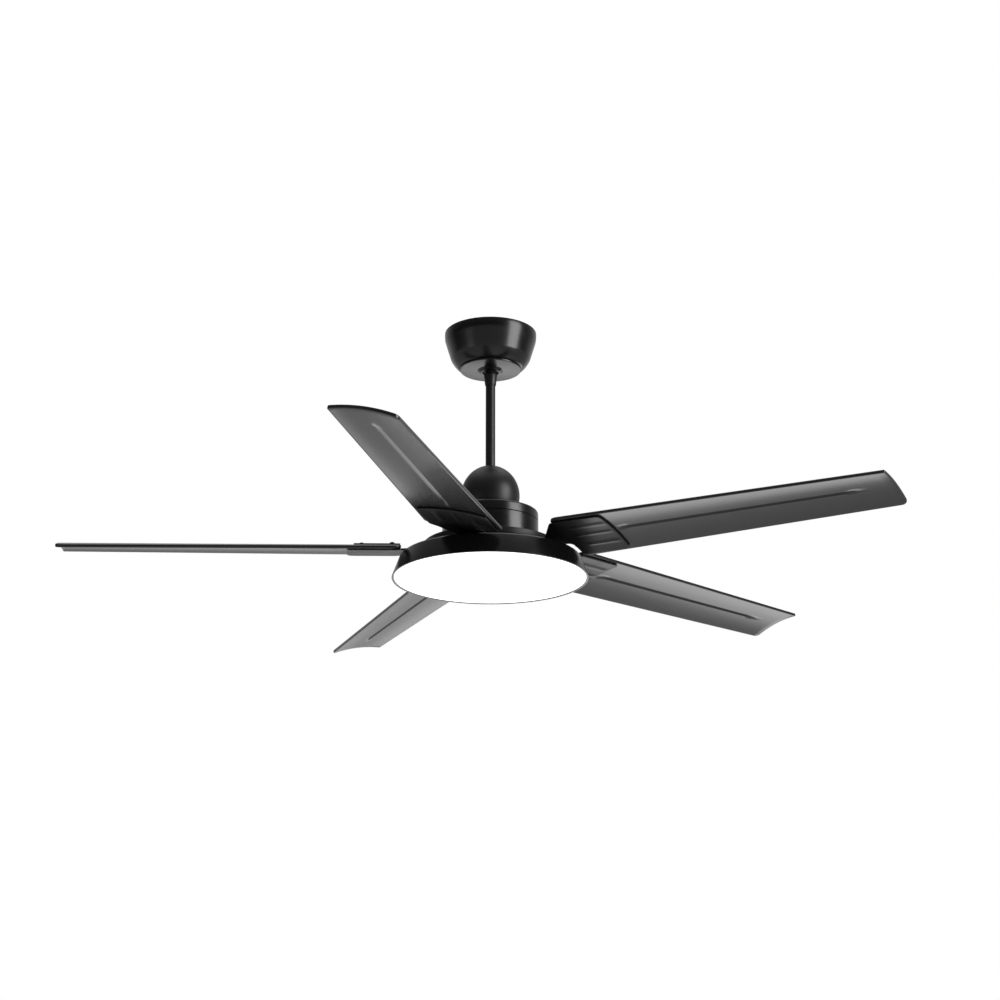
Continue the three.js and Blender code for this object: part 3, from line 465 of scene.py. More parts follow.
# Even white glow with no visible lamp behind it.
OPAL = LitOpal("lit_opal_acrylic", Slot.OPAL, "f4f5f3", 0.3, ior=1.49)
# Flat white, only faintly uneven.
SOLDER_MASK = FilledPlastic("white_solder_mask", Slot.BOARD, "e6e8e6", 0.35, other="dadcd8")
# Dry matt black and warm off-white mouldings.
DARK_NYLON = FilledPlastic("black_glass_filled_nylon", Slot.DARK_PLASTIC, "1d1e20", 0.5)
PALE_NYLON = FilledPlastic("ivory_nylon", Slot.PALE_PLASTIC, "dedcd2", 0.42, other="d2cfc2")


def blade_plastic(turn_degrees: float) -> MouldedBlade:
    """Returns the blade finish with its streaks turned to run along one blade."""
    return MouldedBlade(f"moulded_black_abs_{round(turn_degrees)}", Slot.BLADE, "1b1b1d", 0.23,
                        ior=1.54, turn_degrees=turn_degrees)


# ---------------------------------------------------------------------------------------------
# Workpieces
# ---------------------------------------------------------------------------------------------
class Workpiece:
    """A mesh under the tool, in millimetres, until it is handed over as a finished piece."""

    def __init__(self) -> None:
        """Starts with nothing on the bench."""
        self.bm = bmesh.new()

    @classmethod
    def plate(cls, corners: Sequence[Corner], rounding: int = 6) -> "Workpiece":
        """Cuts a flat outline at height 0 with rounded corners.

        Args:
            corners: x, y and corner radius, counter-clockwise.
            rounding: how many facets turn each corner.

        Returns:
            The flat plate, one face.
        """
        work = cls()
        verts = [work.bm.verts.new((x, y, 0.0)) for x, y, _ in corners]
        work.bm.faces.new(verts)
        work.round_corners(verts, [radius for *_, radius in corners], rounding)
        return work

    @classmethod
    def turned(cls, profile: Sequence[Corner], segments: int, rounding: int = 4) -> "Workpiece":
        """Turns a closed section round the Z axis.

        Args:
            profile: radius, height and corner radius of each point, in order round the section.
            segments: how many facets go round.
            rounding: how many facets turn each corner of the section.

        Returns:
            The closed body.
        """
        work = cls()
        verts = [work.bm.verts.new((r, 0.0, z)) for r, z, _ in profile]
        face = work.bm.faces.new(verts)
        work.round_corners(verts, [radius for *_, radius in profile], rounding)
        bmesh.ops.delete(work.bm, geom=[face] if face.is_valid else work.bm.faces[:],
                         context="FACES_ONLY")
        bmesh.ops.delete(work.bm, geom=[
            e for e in work.bm.edges if all(v.co.x < 1e-6 for v in e.verts)], context="EDGES")
        bmesh.ops.spin(work.bm, geom=work.bm.verts[:] + work.bm.edges[:], axis=(0, 0, 1),
                       cent=(0, 0, 0), steps=segments, angle=2 * math.pi, use_merge=True)
        return work.tidy()

    def round_corners(self, verts: Sequence[bmesh.types.BMVert], radii: Sequence[float],
                      rounding: int) -> None:
        """Rounds the corners of a flat face, those of equal radius together.

        Args:
            verts: the corners.
            radii: the radius at each corner, 0 for a sharp one.
            rounding: how many facets turn each corner.
        """
        for radius in sorted({r for r in radii if r > 0}):
            chosen = [v for v, r in zip(verts, radii) if r == radius]
            bmesh.ops.bevel(self.bm, geom=chosen, offset=radius, offset_type="OFFSET",
                            segments=rounding, profile=0.5, affect="VERTICES",
                            material=NO_MATERIAL)

    def score(self, axis: Vector, places: Iterable[float]) -> "Workpiece":
        """Cuts straight lines across the work, where it can bend later.

        Args:
            axis: the direction that the lines are square to.
            places: where each line lies along that direction.

        Returns:
            The same workpiece.
        """
        for place in places:
            bmesh.ops.bisect_plane(
                self.bm, geom=self.bm.verts[:] + self.bm.edges[:] + self.bm.faces[:],
                dist=1e-5, plane_co=axis * place, plane_no=axis)
        return self

    def raised(self, height: float, edge: float = 0.0, edge_facets: int = 3) -> "Workpiece":
        """Gives a flat plate its thickness, centred on where it lay, and rounds its rims.

        Args:
            height: the thickness.
            edge: the radius on the rims, 0 for sharp ones.
            edge_facets: how many facets turn a rim.

        Returns:
            The same workpiece.
        """
        made = bmesh.ops.extrude_face_region(self.bm, geom=self.bm.faces[:])["geom"]
        upper = [v for v in made if isinstance(v, bmesh.types.BMVert)]
        bmesh.ops.translate(self.bm, verts=upper, vec=(0, 0, height))
        bmesh.ops.translate(self.bm, verts=self.bm.verts[:], vec=(0, 0, -height / 2))
        self.face_outwards()
        if edge > 0:
            rims = [e for e in self.bm.edges if len(e.link_faces) == 2
                    and e.calc_face_angle() > math.radians(60)
                    and abs(e.verts[0].co.z - e.verts[1].co.z) < 1e-6]
            bmesh.ops.bevel(self.bm, geom=rims, offset=edge, offset_type="OFFSET",
                            segments=edge_facets, profile=0.5, affect="EDGES",
                            material=NO_MATERIAL)
        return self

    def add(self, other: "Workpiece") -> "Workpiece":
        """Puts another workpiece's mesh in with this one."""
        loose = bpy.data.meshes.new("loose")
        other.bm.to_mesh(loose)
        self.bm.from_mesh(loose)
        bpy.data.meshes.remove(loose)
        return self

    def moved(self, x: float = 0.0, y: float = 0.0, z: float = 0.0) -> "Workpiece":
        """Slides the work."""
        bmesh.ops.translate(self.bm, verts=self.bm.verts[:], vec=(x, y, z))
        return self

    def spun(self, degrees: float, axis: str = "Z") -> "Workpiece":
        """Turns the work about one of the row's axes through the origin."""
        bmesh.ops.rotate(self.bm, verts=self.bm.verts[:], cent=(0, 0, 0),
                         matrix=Matrix.Rotation(math.radians(degrees), 3, axis))
        return self

    def bent(self, place: Callable[[Vector], Sequence[float]]) -> "Workpiece":
        """Moves every point to where a function puts it."""
        for vert in self.bm.verts:
            vert.co = Vector(place(vert.co.copy()))
        return self

    def copy(self) -> "Workpiece":
        """Returns a second workpiece like this one."""
        twin = Workpiece()
        twin.bm.free()
        twin.bm = self.bm.copy()
        return twin

    def face_outwards(self) -> "Workpiece":
        """Turns every face to point out of the work."""
        bmesh.ops.recalc_face_normals(self.bm, faces=self.bm.faces[:])
        return self

    def tidy(self) -> "Workpiece":
        """Welds doubles, drops slivers and turns the faces outwards."""
        bmesh.ops.remove_doubles(self.bm, verts=self.bm.verts[:], dist=1e-4)
        bmesh.ops.dissolve_degenerate(self.bm, edges=self.bm.edges[:], dist=1e-5)
        return self.face_outwards()

    def hand_over(self, name: str, body: Body, finish: Finish, stands_for: Sequence[str],
                  smooth_degrees: float = 38.0) -> bpy.types.Object:
        """Ends the work: a finished piece that rides on its body.

        Args:
            name: the piece's name.
            body: what it moves with.
            finish: what it is made of.
            stands_for: the CAD nodes that it takes the place of.
            smooth_degrees: edges sharper than this stay sharp.

        Returns:
            The piece.
        """
        bmesh.ops.scale(self.bm, vec=(MM, MM, MM), verts=self.bm.verts[:])
        mesh = bpy.data.meshes.new(name)
        self.bm.to_mesh(mesh)
        self.bm.free()
        mesh.polygons.foreach_set("use_smooth", [True] * len(mesh.polygons))
        mesh.set_sharp_from_angle(angle=math.radians(smooth_degrees))
        mesh.materials.append(finish.material())
        piece = bpy.data.objects.new(name, mesh)
        bpy.context.collection.objects.link(piece)
        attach(piece, body.value)
        if stands_for:
            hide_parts(*stands_for)
        log.info("%s: %d faces, rides on %s", name, len(mesh.polygons), body.value)
        return piece


def screw_head(radius: float, height: float, socket: float = 0.45) -> Workpiece:
    """Makes a low domed screw head with a cross recess, standing on height 0.

    Args:
        radius: the head's radius.
        height: the head's height.
        socket: the recess's reach as a share of the radius.

    Returns:
        The head.
    """
    head = Workpiece.turned([
        (0, 0, 0), (radius, 0, 0), (radius, height * 0.45, height * 0.4),
        (radius * 0.66, height, radius * 0.12), (0, height, 0)], 24, 3)
    reach, half = radius * socket, radius * 0.12
    arm = [(half, half), (reach, half), (reach, -half), (half, -half)]
    cross = Workpiece()
    verts = []
    for quarter in range(4):
        turn = Matrix.Rotation(-math.pi / 2 * quarter, 3, "Z")
        for x, y in arm[:3]:
            verts.append(cross.bm.verts.new(turn @ Vector((x, y, height + 0.02))))
    cross.bm.faces.new(verts)
    bmesh.ops.inset_region(cross.bm, faces=cross.bm.faces[:], thickness=radius * 0.03,
                           depth=-height * 0.01)
    return head.add(cross)


# ---------------------------------------------------------------------------------------------
# Sub-assemblies
# ---------------------------------------------------------------------------------------------
@dataclass
class CeilingCanopy:
    """The bell against the ceiling, and the shallow cup that hides its screws."""

    wall: float = 1.5
    band: float = 11.0
    crease_radius: float = 68.0
    crease_drop: float = 47.0
    floor_radius: float = 54.0
    opening: float = 24.0
    cover_wall: float = 1.4
    cover_opening: float = 14.2
    lip_radius: float = 21.5
    lip_drop: float = 4.0
    segments: int = 128

    def build(self) -> None:
        """Makes both pressings."""
        self.shell()
        self.cover()

    def shell(self) -> None:
        """Makes the tapered shell with its rolled band and the crease above the lower cone."""
        box = Extent.of("canopy")
        top, floor, wall = box.top, box.bottom, self.wall
        waist = lerp(box.radius, self.crease_radius, 0.52)
        middle = lerp(-self.band, -self.crease_drop, 0.5)
        Workpiece.turned([
            (self.opening, floor, 0.4), (self.floor_radius, floor, 3.0),
            (lerp(self.floor_radius, self.crease_radius, 0.5) + 1.2,
             lerp(floor, -self.crease_drop, 0.5) - 1.2, 6.0),
            (self.crease_radius, -self.crease_drop, 1.4), (waist + 0.5, middle, 12.0),
            (box.radius, -self.band, 5.0), (box.radius, top, 0.5),
            (box.radius - wall, top, 0.5), (box.radius - wall, -self.band, 4.0),
            (self.crease_radius - wall, wall - self.crease_drop, 1.0),
            (self.floor_radius - wall, floor + wall, 2.0), (self.opening, floor + wall, 0.4),
        ], self.segments).hand_over("canopy_shell", Body.CEILING_MOUNT, GLOSS_BLACK, ["canopy"])

    def cover(self) -> None:
        """Makes the screw cover with the raised lip round the rod."""
        box = Extent.of("canopy_cover")
        radius, top, wall = box.radius, box.top, self.cover_wall
        lip, plate = box.bottom, box.bottom + self.lip_drop
        Workpiece.turned([
            (self.cover_opening, lip, 0.5), (self.cover_opening + 2.5, lip, 1.0),
            (self.lip_radius, plate, 1.5), (radius, plate, 1.3), (radius, top, 0.3),
            (radius - wall, top, 0.3), (radius - wall, plate + wall, 0.8),
            (self.lip_radius, plate + wall, 1.0), (self.cover_opening, lip + wall, 0.4),
        ], self.segments).hand_over("canopy_screw_cover", Body.CEILING_MOUNT, GLOSS_BLACK,
                                    ["canopy_cover"])


@dataclass
class RodAndDome:
    """The downrod, its tapered collar and the egg-shaped shell over the coupling."""

    rod_bore: float = 6.4
    dome_wall: float = 1.6
    dome_equator_over_motor: float = 29.7
    dome_half_height: float = 52.5
    running_gap: float = 1.2
    segments: int = 96

    def build(self) -> None:
        """Makes the three pieces."""
        rod = Extent.of("downrod")
        Workpiece.turned([
            (self.rod_bore, rod.bottom, 0.4), (rod.radius, rod.bottom, 0.6),
            (rod.radius, rod.top, 0.6), (self.rod_bore, rod.top, 0.4),
        ], 64).score(Vector((0, 0, 1)), spaced(rod.bottom + 10, rod.top - 10, 8)).hand_over(
            "downrod_tube", Body.HANGING_UNIT, SATIN_BLACK, ["downrod"])
        self.collar(rod.radius + 0.3)
        self.dome(rod.radius + 0.6)

    def collar(self, inner: float) -> None:
        """Makes the rubber-soft looking collar that slides up to the canopy."""
        box = Extent.of("rod_collar")
        radius, top, bottom = box.radius, box.top, box.bottom
        Workpiece.turned([
            (inner, bottom, 0.2), (inner + 0.9, bottom, 0.4),
            (radius - 0.8, lerp(top, bottom, 0.45), 6.0), (radius, top - 2, 1.5),
            (radius - 1, top, 0.6), (inner, top, 0.3),
        ], 64).hand_over("rod_collar_sleeve", Body.HANGING_UNIT, SATIN_BLACK, ["rod_collar"])

    def dome(self, opening: float) -> None:
        """Makes the egg-shaped shell, open under the rod and at the motor."""
        box = Extent.of("coupling_cover")
        middle = box.bottom - self.running_gap + self.dome_equator_over_motor

        def arc(shrink: float, steps: int) -> list[Corner]:
            """Traces one skin of the shell, from the motor up to the rod."""
            across, up = box.radius - shrink, self.dome_half_height - shrink
            low = math.asin((box.bottom - middle) / up)
            high = math.acos(opening / across)
            return [(across * math.cos(a), middle + up * math.sin(a), 0.0)
                    for a in spaced(low, high, steps)]

        Workpiece.turned(arc(0, 40) + arc(self.dome_wall, 24)[::-1], self.segments).hand_over(
            "coupling_dome", Body.HANGING_UNIT, SATIN_BLACK, ["coupling_cover"])


@dataclass
class MotorCase:
    """The two gloss shells round the motor and the plate that carries the blades."""

    wall: float = 2.5
    edge: float = 4.0
    hub_radius: float = 20.3
    hub_wall: float = 3.7
    bearing_width: float = 12.0
    shaft_opening: float = 9.7
    flange_opening: float = 40.0
    flange_plate: float = 4.0
    rim_wall: float = 3.0
    segments: int = 128

    def build(self) -> None:
        """Makes both shells and the flange."""
        upper, lower = Extent.of("motor_upper_shell"), Extent.of("motor_lower_shell")
        self.shell(upper, 1, "motor_case_upper", "motor_upper_shell")
        self.shell(lower, -1, "motor_case_lower", "motor_lower_shell")
        self.flange()

    def shell(self, box: Extent, side: int, name: str, node: str) -> None:
        """Makes one half of the case.

        Args:
            box: the half's box.
            side: 1 for the upper half, -1 for the lower one.
            name: the piece's name.
            node: the CAD node that it stands for.
        """
        closed = box.top if side > 0 else box.bottom
        lip = box.bottom if side > 0 else box.top
        inside = closed - side * self.wall
        hub = inside - side * (self.bearing_width + 0.3)
        radius, wall, edge = box.radius, self.wall, self.edge
        Workpiece.turned([
            (radius - wall, lip, 0.2), (radius - 0.5, lip, 0.0),
            (radius, lip + side * 0.5, 0.0), (radius, closed, edge),
            (radius * 0.78, closed, 0.0), (radius * 0.76, closed + side * -0.5, 0.0),
            (radius * 0.74, closed, 0.0),
            (self.shaft_opening, closed, 0.6), (self.shaft_opening, inside, 0.2),
            (self.hub_radius, inside, 0.0), (self.hub_radius, hub, 0.3),
            (self.hub_radius + self.hub_wall, hub, 0.6),
            (self.hub_radius + self.hub_wall, inside, 1.2),
            (radius - wall, inside, edge * 0.7),
        ], self.segments, 6).hand_over(name, Body.ROTOR, GLOSS_BLACK, [node])

    def flange(self) -> None:
        """Makes the blade carrier with its raised rim."""
        box = Extent.of("blade_flange")
        plate = box.bottom + self.flange_plate
        Workpiece.turned([
            (self.flange_opening, box.bottom, 0.4), (box.radius, box.bottom, 1.6),
            (box.radius, box.top, 1.3), (box.radius - self.rim_wall, box.top, 1.0),
            (box.radius - self.rim_wall, plate, 1.5), (self.flange_opening, plate, 0.4),
        ], self.segments).hand_over("blade_carrier", Body.ROTOR, BRACKET_BLACK, ["blade_flange"])


@dataclass(frozen=True)
class Bead:
    """A stiffening bead pressed into the bracket's pad."""

    start: float
    end: float
    across: float
    reach: float
    height: float = 1.4

    def depth_at(self, x: float, y: float) -> float:
        """Returns how far the bead stands out of the sheet at a point of the pad."""
        ends = min(smoothstep(x, self.start - 8, self.start),
                   1 - smoothstep(x, self.end, self.end + 6))
        near = max(0.0, 1 - abs(y - self.across) / self.reach)
        return self.height * ends * smoothstep(near, 0.0, 1.0)


@dataclass
class BladeSet:
    """Five arched and twisted blades on their pressed brackets, with clamps and screws."""

    count: int = 5
    first_degrees: float = 184.6
    sweep_radius: float = 711.0
    root_x: float = 150.0
    axis_width: float = 139.2
    tip_width: float = 100.7
    thickness: float = 5.5
    camber: float = 5.5
    root_pitch: float = 11.3
    tip_pitch: float = 12.5
    droop: float = 1.01
    shift: float = -5.8
    root_corner: float = 14.0
    tip_corner: float = 10.0
    sharp_tip_corner: float = 2.5
    plane_under_motor: float = 1.8
    seat: float = 0.3
    rib_start: float = 250.0
    rib_end: float = 645.0
    rib_half: float = 5.0
    rib_depth: float = 3.4
    plate: float = 3.0
    tongue_start: float = 84.0
    tongue_half: float = 20.0
    tongue_end: float = 116.0
    pad_start: float = 150.0
    pad_end: float = 238.0
    pad_half: float = 57.0
    rear_set_back: float = 2.0
    neck_inner: float = 14.0
    screw_x: float = 99.0
    screw_half_spacing: float = 13.0
    clamp_start: float = 150.0
    clamp_end: float = 228.0
    clamp_half: float = 30.0
    clamp_sheet: float = 2.0
    studs: tuple[Point, ...] = ((164.0, -20.0), (164.0, 20.0), (214.0, 0.0))
    head: float = 4.4
    head_height: float = 2.4
    shank: float = 2.4
    washer: float = 1.0
    beads: tuple[Bead, ...] = (Bead(178.0, 228.0, 24.0, 5.0), Bead(172.0, 228.0, -6.0, 5.0),
                               Bead(178.0, 230.0, -34.0, 8.0))
    blade_plane: float = field(init=False)
    tongue_top: float = field(init=False)
    flange_top: float = field(init=False)
    tip_x: float = field(init=False)

    def __post_init__(self) -> None:
        """Reads the heights that the blades hang from."""
        self.blade_plane = Extent.of("motor_lower_shell").bottom - self.plane_under_motor
        flange = Extent.of("blade_flange")
        self.tongue_top = flange.bottom - self.seat
        self.flange_top = flange.bottom + 4.0
        corner = self.tip_width / 2 - self.shift - self.sharp_tip_corner / 2
        self.tip_x = math.sqrt(self.sweep_radius ** 2 - corner ** 2)

    def half_width(self, x: float) -> float:
        """Returns half the blade's width at a distance from the axis."""
        return lerp(self.axis_width, self.tip_width, x / self.sweep_radius) / 2

    def on_blade(self, x: float, t: float, h: float) -> tuple[float, float, float]:
        """Finds a point on or near the blade's middle surface.

        Args:
            x: distance out along the blade.
            t: distance across it, counter-clockwise.
            h: distance above the surface.

        Returns:
            The point in the blade's own frame.
        """
        pitch = math.radians(lerp(self.root_pitch, self.tip_pitch, x / self.sweep_radius))
        arch = self.camber * (1 - (t / self.half_width(x)) ** 2)
        return (x, self.shift + t * math.cos(pitch) + h * math.sin(pitch),
                self.blade_plane - x * math.tan(math.radians(self.droop)) - t * math.sin(pitch)
                + arch + h * math.cos(pitch))

    def build(self) -> None:
        """Makes one of each piece and turns copies of it round the motor."""
        blade, bracket, clamp, screws = (self.blade(), self.bracket(), self.clamp(),
                                         self.bracket_screws())
        for number in range(1, self.count + 1):
            turn = self.first_degrees + 360 / self.count * (number - 1)
            blade.copy().spun(turn).hand_over(
                f"fan_blade_{number}", Body.ROTOR, blade_plastic(turn), [f"blade_{number}"])
            bracket.copy().spun(turn).hand_over(
                f"pressed_bracket_{number}", Body.ROTOR, BRACKET_BLACK,
                [f"blade_bracket_{number}"])
            clamp.copy().spun(turn).hand_over(
                f"clamp_plate_{number}", Body.ROTOR, BRACKET_BLACK, [f"blade_clamp_{number}"])
            screws.copy().spun(turn).hand_over(
                f"washer_plate_{number}", Body.ROTOR, ZINC, [f"bracket_screws_{number}"])

    def blade(self) -> Workpiece:
        """Makes one blade: a rounded plate, ribbed on its underside, then arched and twisted."""
        flat_half = self.half_width(0)
        root, tip = self.root_x, self.tip_x
        work = Workpiece.plate([
            (root, -flat_half, self.root_corner), (tip, -flat_half, self.sharp_tip_corner),
            (tip, flat_half, self.tip_corner), (root, flat_half, self.root_corner)], 8)
        work.score(Vector((1, 0, 0)), spaced(root + 20, tip - 14, 38))
        work.score(Vector((0, 1, 0)), spaced(-flat_half + 4, flat_half - 4, 17))
        work.score(Vector((0, 1, 0)), spaced(-self.rib_half, self.rib_half, 8))
        work.raised(self.thickness, 1.5)

        def place(co: Vector) -> Sequence[float]:
            """Sinks the rib into the underside and lays the plate on the blade's surface."""
            share = co.y / flat_half
            h = co.z
            if co.z < -self.thickness / 2 + 0.01:
                ends = min(smoothstep(co.x, self.rib_start, self.rib_start + 6),
                           1 - smoothstep(co.x, self.rib_end - 12, self.rib_end))
                across = max(0.0, 1 - abs(co.y) / self.rib_half)
                h += self.rib_depth * ends * math.sin(across * math.pi / 2)
            return self.on_blade(co.x, share * self.half_width(co.x), h)

        return work.bent(place).face_outwards()

    def on_bracket(self, x: float, y: float, h: float) -> tuple[float, ...]:
        """Finds a point of the bracket: flat under the flange, then fitted to the blade.

        Args:
            x: distance out.
            y: distance across in plan.
            h: distance above the sheet's middle.

        Returns:
            The point in the blade's own frame.
        """
        share = smoothstep(x, self.tongue_end, self.root_x - 2)
        pitch = math.radians(lerp(self.root_pitch, self.tip_pitch, x / self.sweep_radius))
        t = (y - share * self.shift) / ((1 - share) + share * math.cos(pitch))
        drop = (self.thickness + self.plate) / 2 + self.seat
        fitted = self.on_blade(x, t, h - drop)
        flat = (x, t, self.tongue_top - self.plate / 2 + h)
        return tuple(lerp(a, b, share) for a, b in zip(flat, fitted))

    def bracket(self) -> Workpiece:
        """Makes one pressed bracket with the stiffening beads on its underside."""
        middle, half = self.shift, self.pad_half
        work = Workpiece.plate([
            (self.tongue_start, -self.tongue_half, 4), (self.tongue_end, -self.tongue_half - 2, 9),
            (self.pad_start, middle - half, 9), (self.pad_end, middle - half, 9),
            (self.pad_end, middle + half, 9),
            (self.pad_start + self.rear_set_back, middle + half, 9),
            (self.pad_start - 2, self.neck_inner, 9), (self.tongue_end, self.tongue_half, 4.5),
            (self.tongue_start, self.tongue_half, 4)], 6)
        work.score(Vector((1, 0, 0)), spaced(self.tongue_start + 6, self.pad_end - 4, 34))
        work.score(Vector((0, 1, 0)), spaced(middle - half + 4, middle + half - 4, 40))
        work.raised(self.plate, 0.9)

        def place(co: Vector) -> Sequence[float]:
            """Presses the beads into the underside and fits the sheet to the blade."""
            h = co.z
            if co.z < -self.plate / 2 + 0.01:
                h -= sum(bead.depth_at(co.x, co.y) for bead in self.beads)
            return self.on_bracket(co.x, co.y, h)

        return work.bent(place).face_outwards()

    def clamp(self) -> Workpiece:
        """Makes the strip on top of the blade with its three screws."""
        start, end, half = self.clamp_start + 0.5, self.clamp_end - 0.5, self.clamp_half - 1
        work = Workpiece.plate([(start, -half, 6), (end, -half, 6), (end, half, 6),
                                (start, half, 6)], 6)
        work.score(Vector((0, 1, 0)), spaced(-half + 2, half - 2, 12))
        work.score(Vector((1, 0, 0)), spaced(start + 8, end - 8, 4))
        work.raised(self.clamp_sheet, 0.6)
        above = (self.thickness + self.clamp_sheet) / 2 + self.seat
        work.bent(lambda co: self.on_blade(co.x, co.y, co.z + above))
        for x, t in self.studs:
            _, y, z = self.on_blade(x, t, 0)
            work.add(screw_head(self.head, self.head_height).moved(
                x, y, z + self.thickness / 2 + self.clamp_sheet))
        return work.face_outwards()

    def bracket_screws(self) -> Workpiece:
        """Makes the washer plate under the tongue with its two screws."""
        reach = self.head + 1
        across = self.screw_half_spacing + reach
        top = self.tongue_top - self.plate - self.seat
        work = Workpiece.plate([
            (self.screw_x - reach, -across, 3), (self.screw_x + reach, -across, 3),
            (self.screw_x + reach, across, 3), (self.screw_x - reach, across, 3)], 5)
        work.raised(self.washer, 0.25).moved(z=top - self.washer / 2)
        for side in (-1, 1):
            head = screw_head(self.head, self.head_height).spun(180, "X")
            work.add(head.moved(self.screw_x, side * self.screw_half_spacing, top - self.washer))
            shank = Workpiece.turned([
                (0, top, 0), (self.shank, top, 0), (self.shank, self.flange_top - 1, 0.4),
                (0, self.flange_top - 1, 0)], 16)
            work.add(shank.moved(self.screw_x, side * self.screw_half_spacing))
        return work.face_outwards()


@dataclass
class RoundLight:
    """The flared lamp pan and its opal cover."""

    wall: float = 1.5
    lip: float = 4.0
    top_radius: float = 150.0
    opening: float = 22.0
    seat: float = 0.3
    recess: float = 0.8
    sheet: float = 2.5
    collar_radius: float = 150.0
    collar_wall: float = 2.4
    collar_height: float = 6.0
    segments: int = 160

    def build(self) -> None:
        """Makes the pan and the cover."""
        self.pan()
        self.cover()

    def pan(self) -> None:
        """Makes the flared pan with the lip that frames the cover."""
        box = Extent.of("lamp_housing")
        radius, top, bottom, wall = box.radius, box.top, box.bottom, self.wall
        inner = radius - self.lip + 2 * self.seat
        rim_top = bottom + self.recess + self.sheet + self.seat
        slope = (radius - self.top_radius) / (top - bottom)
        # The pan takes the copy of the gloss black whose colour is painted lighter, as painted
        # light from the floor.
        Workpiece.turned([
            (inner, bottom, 0.3), (radius, bottom, 0.9), (self.top_radius + slope * 1.0, top, 4.0),
            (self.opening, top, 0.5), (self.opening, top - wall, 0.3),
            (self.top_radius - wall - 0.5, top - wall, 3.0),
            (radius - wall - slope * (rim_top - bottom), rim_top, 0.3), (inner, rim_top - 0.2, 0.2),
        ], self.segments, 5).hand_over("lamp_pan", Body.HANGING_UNIT, LAMP_BLACK_PAINTED_FLOOR_LIGHT,
                                       ["lamp_housing"])

    def cover(self) -> None:
        """Makes the opal disc with the collar that twists into the pan."""
        box = Extent.of("diffuser")
        radius, bottom = box.radius, box.bottom
        top = bottom + self.sheet
        collar = self.collar_radius
        Workpiece.turned([
            (0, bottom, 0), (radius, bottom, 1.1), (radius, top, 0.3),
            (collar + self.collar_wall, top, 0.3),
            (collar + self.collar_wall, top + self.collar_height, 0.4),
            (collar, top + self.collar_height, 0.4), (collar, top, 0.3), (0, top, 0),
        ], self.segments, 5).hand_over("opal_cover", Body.LIGHT_DIFFUSER, OPAL, ["diffuser"])


@dataclass(frozen=True)
class InnerWorks:
    """The CAD nodes that keep their own shape and only take a finish."""

    finishes: tuple[tuple[Finish, tuple[str, ...]], ...] = (
        (ZINC, ("hanger_bracket", "canopy_screw_left", "canopy_screw_right", "yoke_pin",
                "light_mount_plate", "shaft_nut", "lamp_screw_a", "lamp_screw_b",
                "lamp_screw_c")),
        (SATIN_BLACK, ("hanger_ball",)),
        (TURNED, ("ball_pin", "coupling_yoke", "pin_clip", "yoke_set_screw_left",
                  "yoke_set_screw_right", "motor_shaft", "upper_bearing_inner_ring",
                  "upper_bearing_outer_ring", "upper_bearing_balls",
                  "lower_bearing_inner_ring", "lower_bearing_outer_ring",
                  "lower_bearing_balls")),
        (LAMINATED, ("stator_core", "rotor_ring")),
        (COPPER, ("stator_winding",)),
        (SOLDER_MASK, ("led_board",)),
        (DARK_NYLON, ("led_driver", "wire_bundle")),
        (PALE_NYLON, ("remote_receiver", "terminal_block")),
    )

    def build(self) -> None:
        """Gives each node its finish."""
        for finish, nodes in self.finishes:
            for name in nodes:
                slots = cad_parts[name].material_slots
                for slot in slots:
                    slot.material = finish.material()
                log.info("%s: finished in %s", name, finish.name)


# ---------------------------------------------------------------------------------------------
# Studio
# ---------------------------------------------------------------------------------------------
@dataclass(frozen=True)
class Softbox:
    """One soft lamp: a glowing rectangle that only reflections and surfaces see."""

    name: str
    place: tuple[float, float, float]
    aim: tuple[float, float, float]
    width: float
    height: float
    radiance: float

    def build(self) -> None:
        """Hangs the lamp and turns it to what it lights."""
        lamp = bpy.data.lights.new(self.name, "AREA")
        lamp.shape = "RECTANGLE"
        lamp.size, lamp.size_y = self.width, self.height
        lamp.energy = self.radiance * math.pi * self.width * self.height
        holder = bpy.data.objects.new(self.name, lamp)
        bpy.context.collection.objects.link(holder)
        holder.location = self.place
        away = Vector(self.aim) - Vector(self.place)
        holder.rotation_euler = away.to_track_quat("-Z", "Y").to_euler()
        holder.visible_camera = False


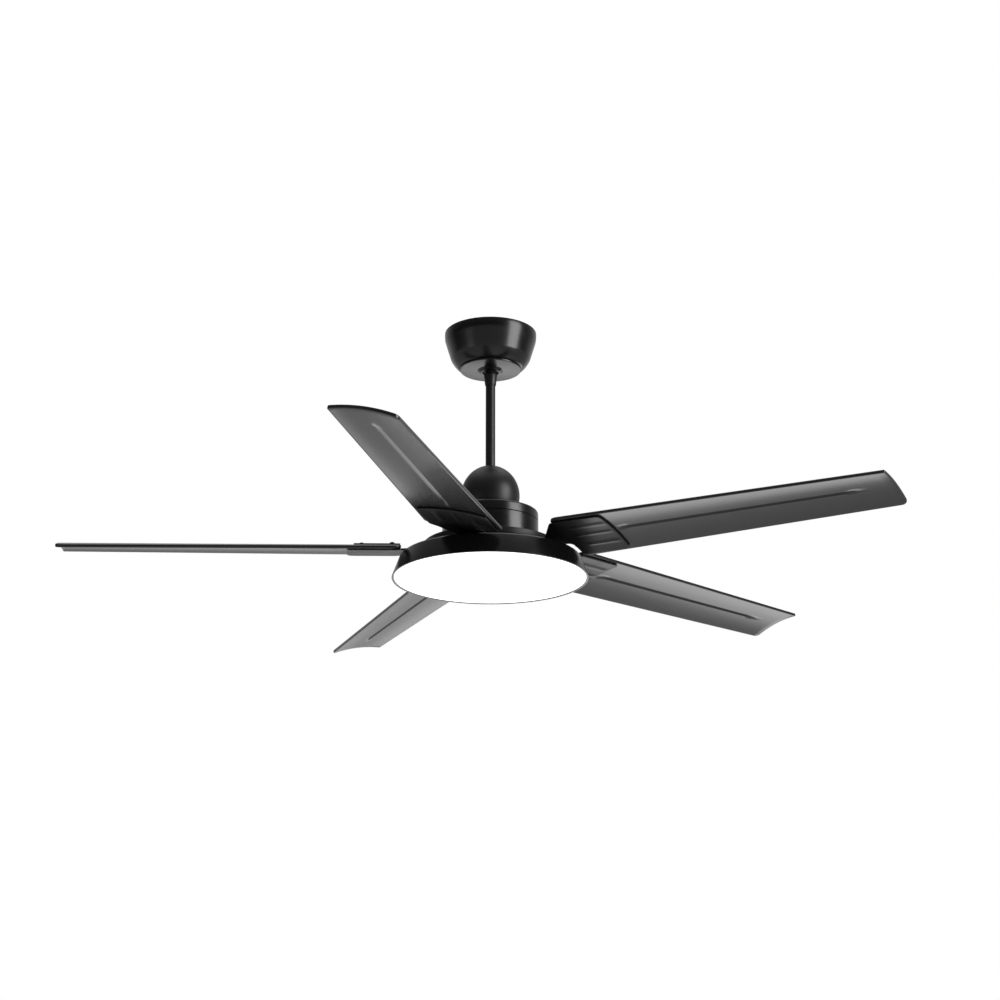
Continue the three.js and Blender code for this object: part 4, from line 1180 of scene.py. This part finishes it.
@dataclass(frozen=True)
class Studio:
    """Pale floor, soft light and the camera, in metres."""

    floor_height: float = -2.6
    floor_reach: float = 30.0
    eye: tuple[float, float, float] = (0.0, -3.0642, -1.2959)
    look_up_degrees: float = 17.986
    look_right_degrees: float = 0.3046
    lens: float = 68.928
    side_horizon: float = 0.05
    far_horizon: float = 0.8
    zenith: float = 0.3
    softboxes: tuple[Softbox, ...] = (
        Softbox("softbox_right", (2.35, -1.25, 0.0), (0, 0, -0.2), 1.4, 2.3, 6.5),
        Softbox("softbox_left", (-2.3, -1.5, -0.75), (0, 0, -0.2), 0.9, 0.8, 0.7),
        Softbox("overhead", (0.0, 0.4, 2.6), (0, 0, -0.4), 3.6, 3.0, 1.0),
        Softbox("low_fill", (1.0, 3.9, -2.45), (0.8, 3.0, 0.0), 3.8, 4.2, 1.5),
    )

    def build(self) -> None:
        """Sets up the whole studio."""
        self.camera()
        self.floor()
        self.world()
        for softbox in self.softboxes:
            softbox.build()
        bpy.context.scene.view_settings.view_transform = "Standard"

    def camera(self) -> None:
        """Puts the camera low in front of the fan, looking up."""
        data = bpy.data.cameras.new("camera")
        data.sensor_width, data.lens = 36.0, self.lens
        camera = bpy.data.objects.new("camera", data)
        bpy.context.collection.objects.link(camera)
        camera.location = self.eye
        camera.rotation_euler = (math.radians(90 + self.look_up_degrees), 0.0,
                                 -math.radians(self.look_right_degrees))
        bpy.context.scene.camera = camera

    def floor(self) -> None:
        """Lays a plain pale floor."""
        bm = bmesh.new()
        bmesh.ops.create_grid(bm, x_segments=1, y_segments=1, size=self.floor_reach)
        bmesh.ops.translate(bm, verts=bm.verts[:], vec=(0, 0, self.floor_height))
        mesh = bpy.data.meshes.new("studio_floor")
        bm.to_mesh(mesh)
        bm.free()
        paint = bpy.data.materials.new("pale_floor_paint")
        paint.use_nodes = True
        tree = paint.node_tree
        tree.nodes.clear()
        shader = add_node(tree, "ShaderNodeBsdfPrincipled", {
            "Base Color": linear("f2f2f1"), "Roughness": 0.7,
            "Emission Color": linear("ffffff"), "Emission Strength": 0.16})
        add_node(tree, "ShaderNodeOutputMaterial", {"Surface": shader.outputs[0]})
        mesh.materials.append(paint)
        floor = bpy.data.objects.new("studio_floor", mesh)
        bpy.context.collection.objects.link(floor)

    def world(self) -> None:
        """Fills the room with soft light: white behind the fan, dimmer all round it."""
        world = bpy.data.worlds.new("soft_room")
        bpy.context.scene.world = world
        world.use_nodes = True
        tree = world.node_tree
        tree.nodes.clear()
        ray = add_node(tree, "ShaderNodeTexCoord").outputs["Generated"]
        parts = add_node(tree, "ShaderNodeSeparateXYZ", {0: ray})
        level = add_node(tree, "ShaderNodeMapRange", {
            "Value": parts.outputs["Y"], "From Min": 0.2, "From Max": 0.95,
            "To Min": self.side_horizon, "To Max": self.far_horizon})
        upper = add_node(tree, "ShaderNodeMapRange", {
            "Value": parts.outputs["Z"], "From Min": 0.1, "From Max": 0.9,
            "To Min": level.outputs[0], "To Max": self.zenith})
        room = add_node(tree, "ShaderNodeBackground", {
            "Color": linear("ffffff"), "Strength": upper.outputs[0]})
        backdrop = add_node(tree, "ShaderNodeBackground", {"Color": linear("ffffff")})
        seen = add_node(tree, "ShaderNodeLightPath").outputs["Is Camera Ray"]
        mixed = add_node(tree, "ShaderNodeMixShader", {
            0: seen, 1: room.outputs[0], 2: backdrop.outputs[0]})
        add_node(tree, "ShaderNodeOutputWorld", {"Surface": mixed.outputs[0]})


def main() -> None:
    """Builds the fan around the frame and sets up the studio."""
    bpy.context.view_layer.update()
    for part in (CeilingCanopy(), RodAndDome(), MotorCase(), BladeSet(), RoundLight(),
                 InnerWorks(), Studio()):
        part.build()


if __name__ == "__main__":
    main()
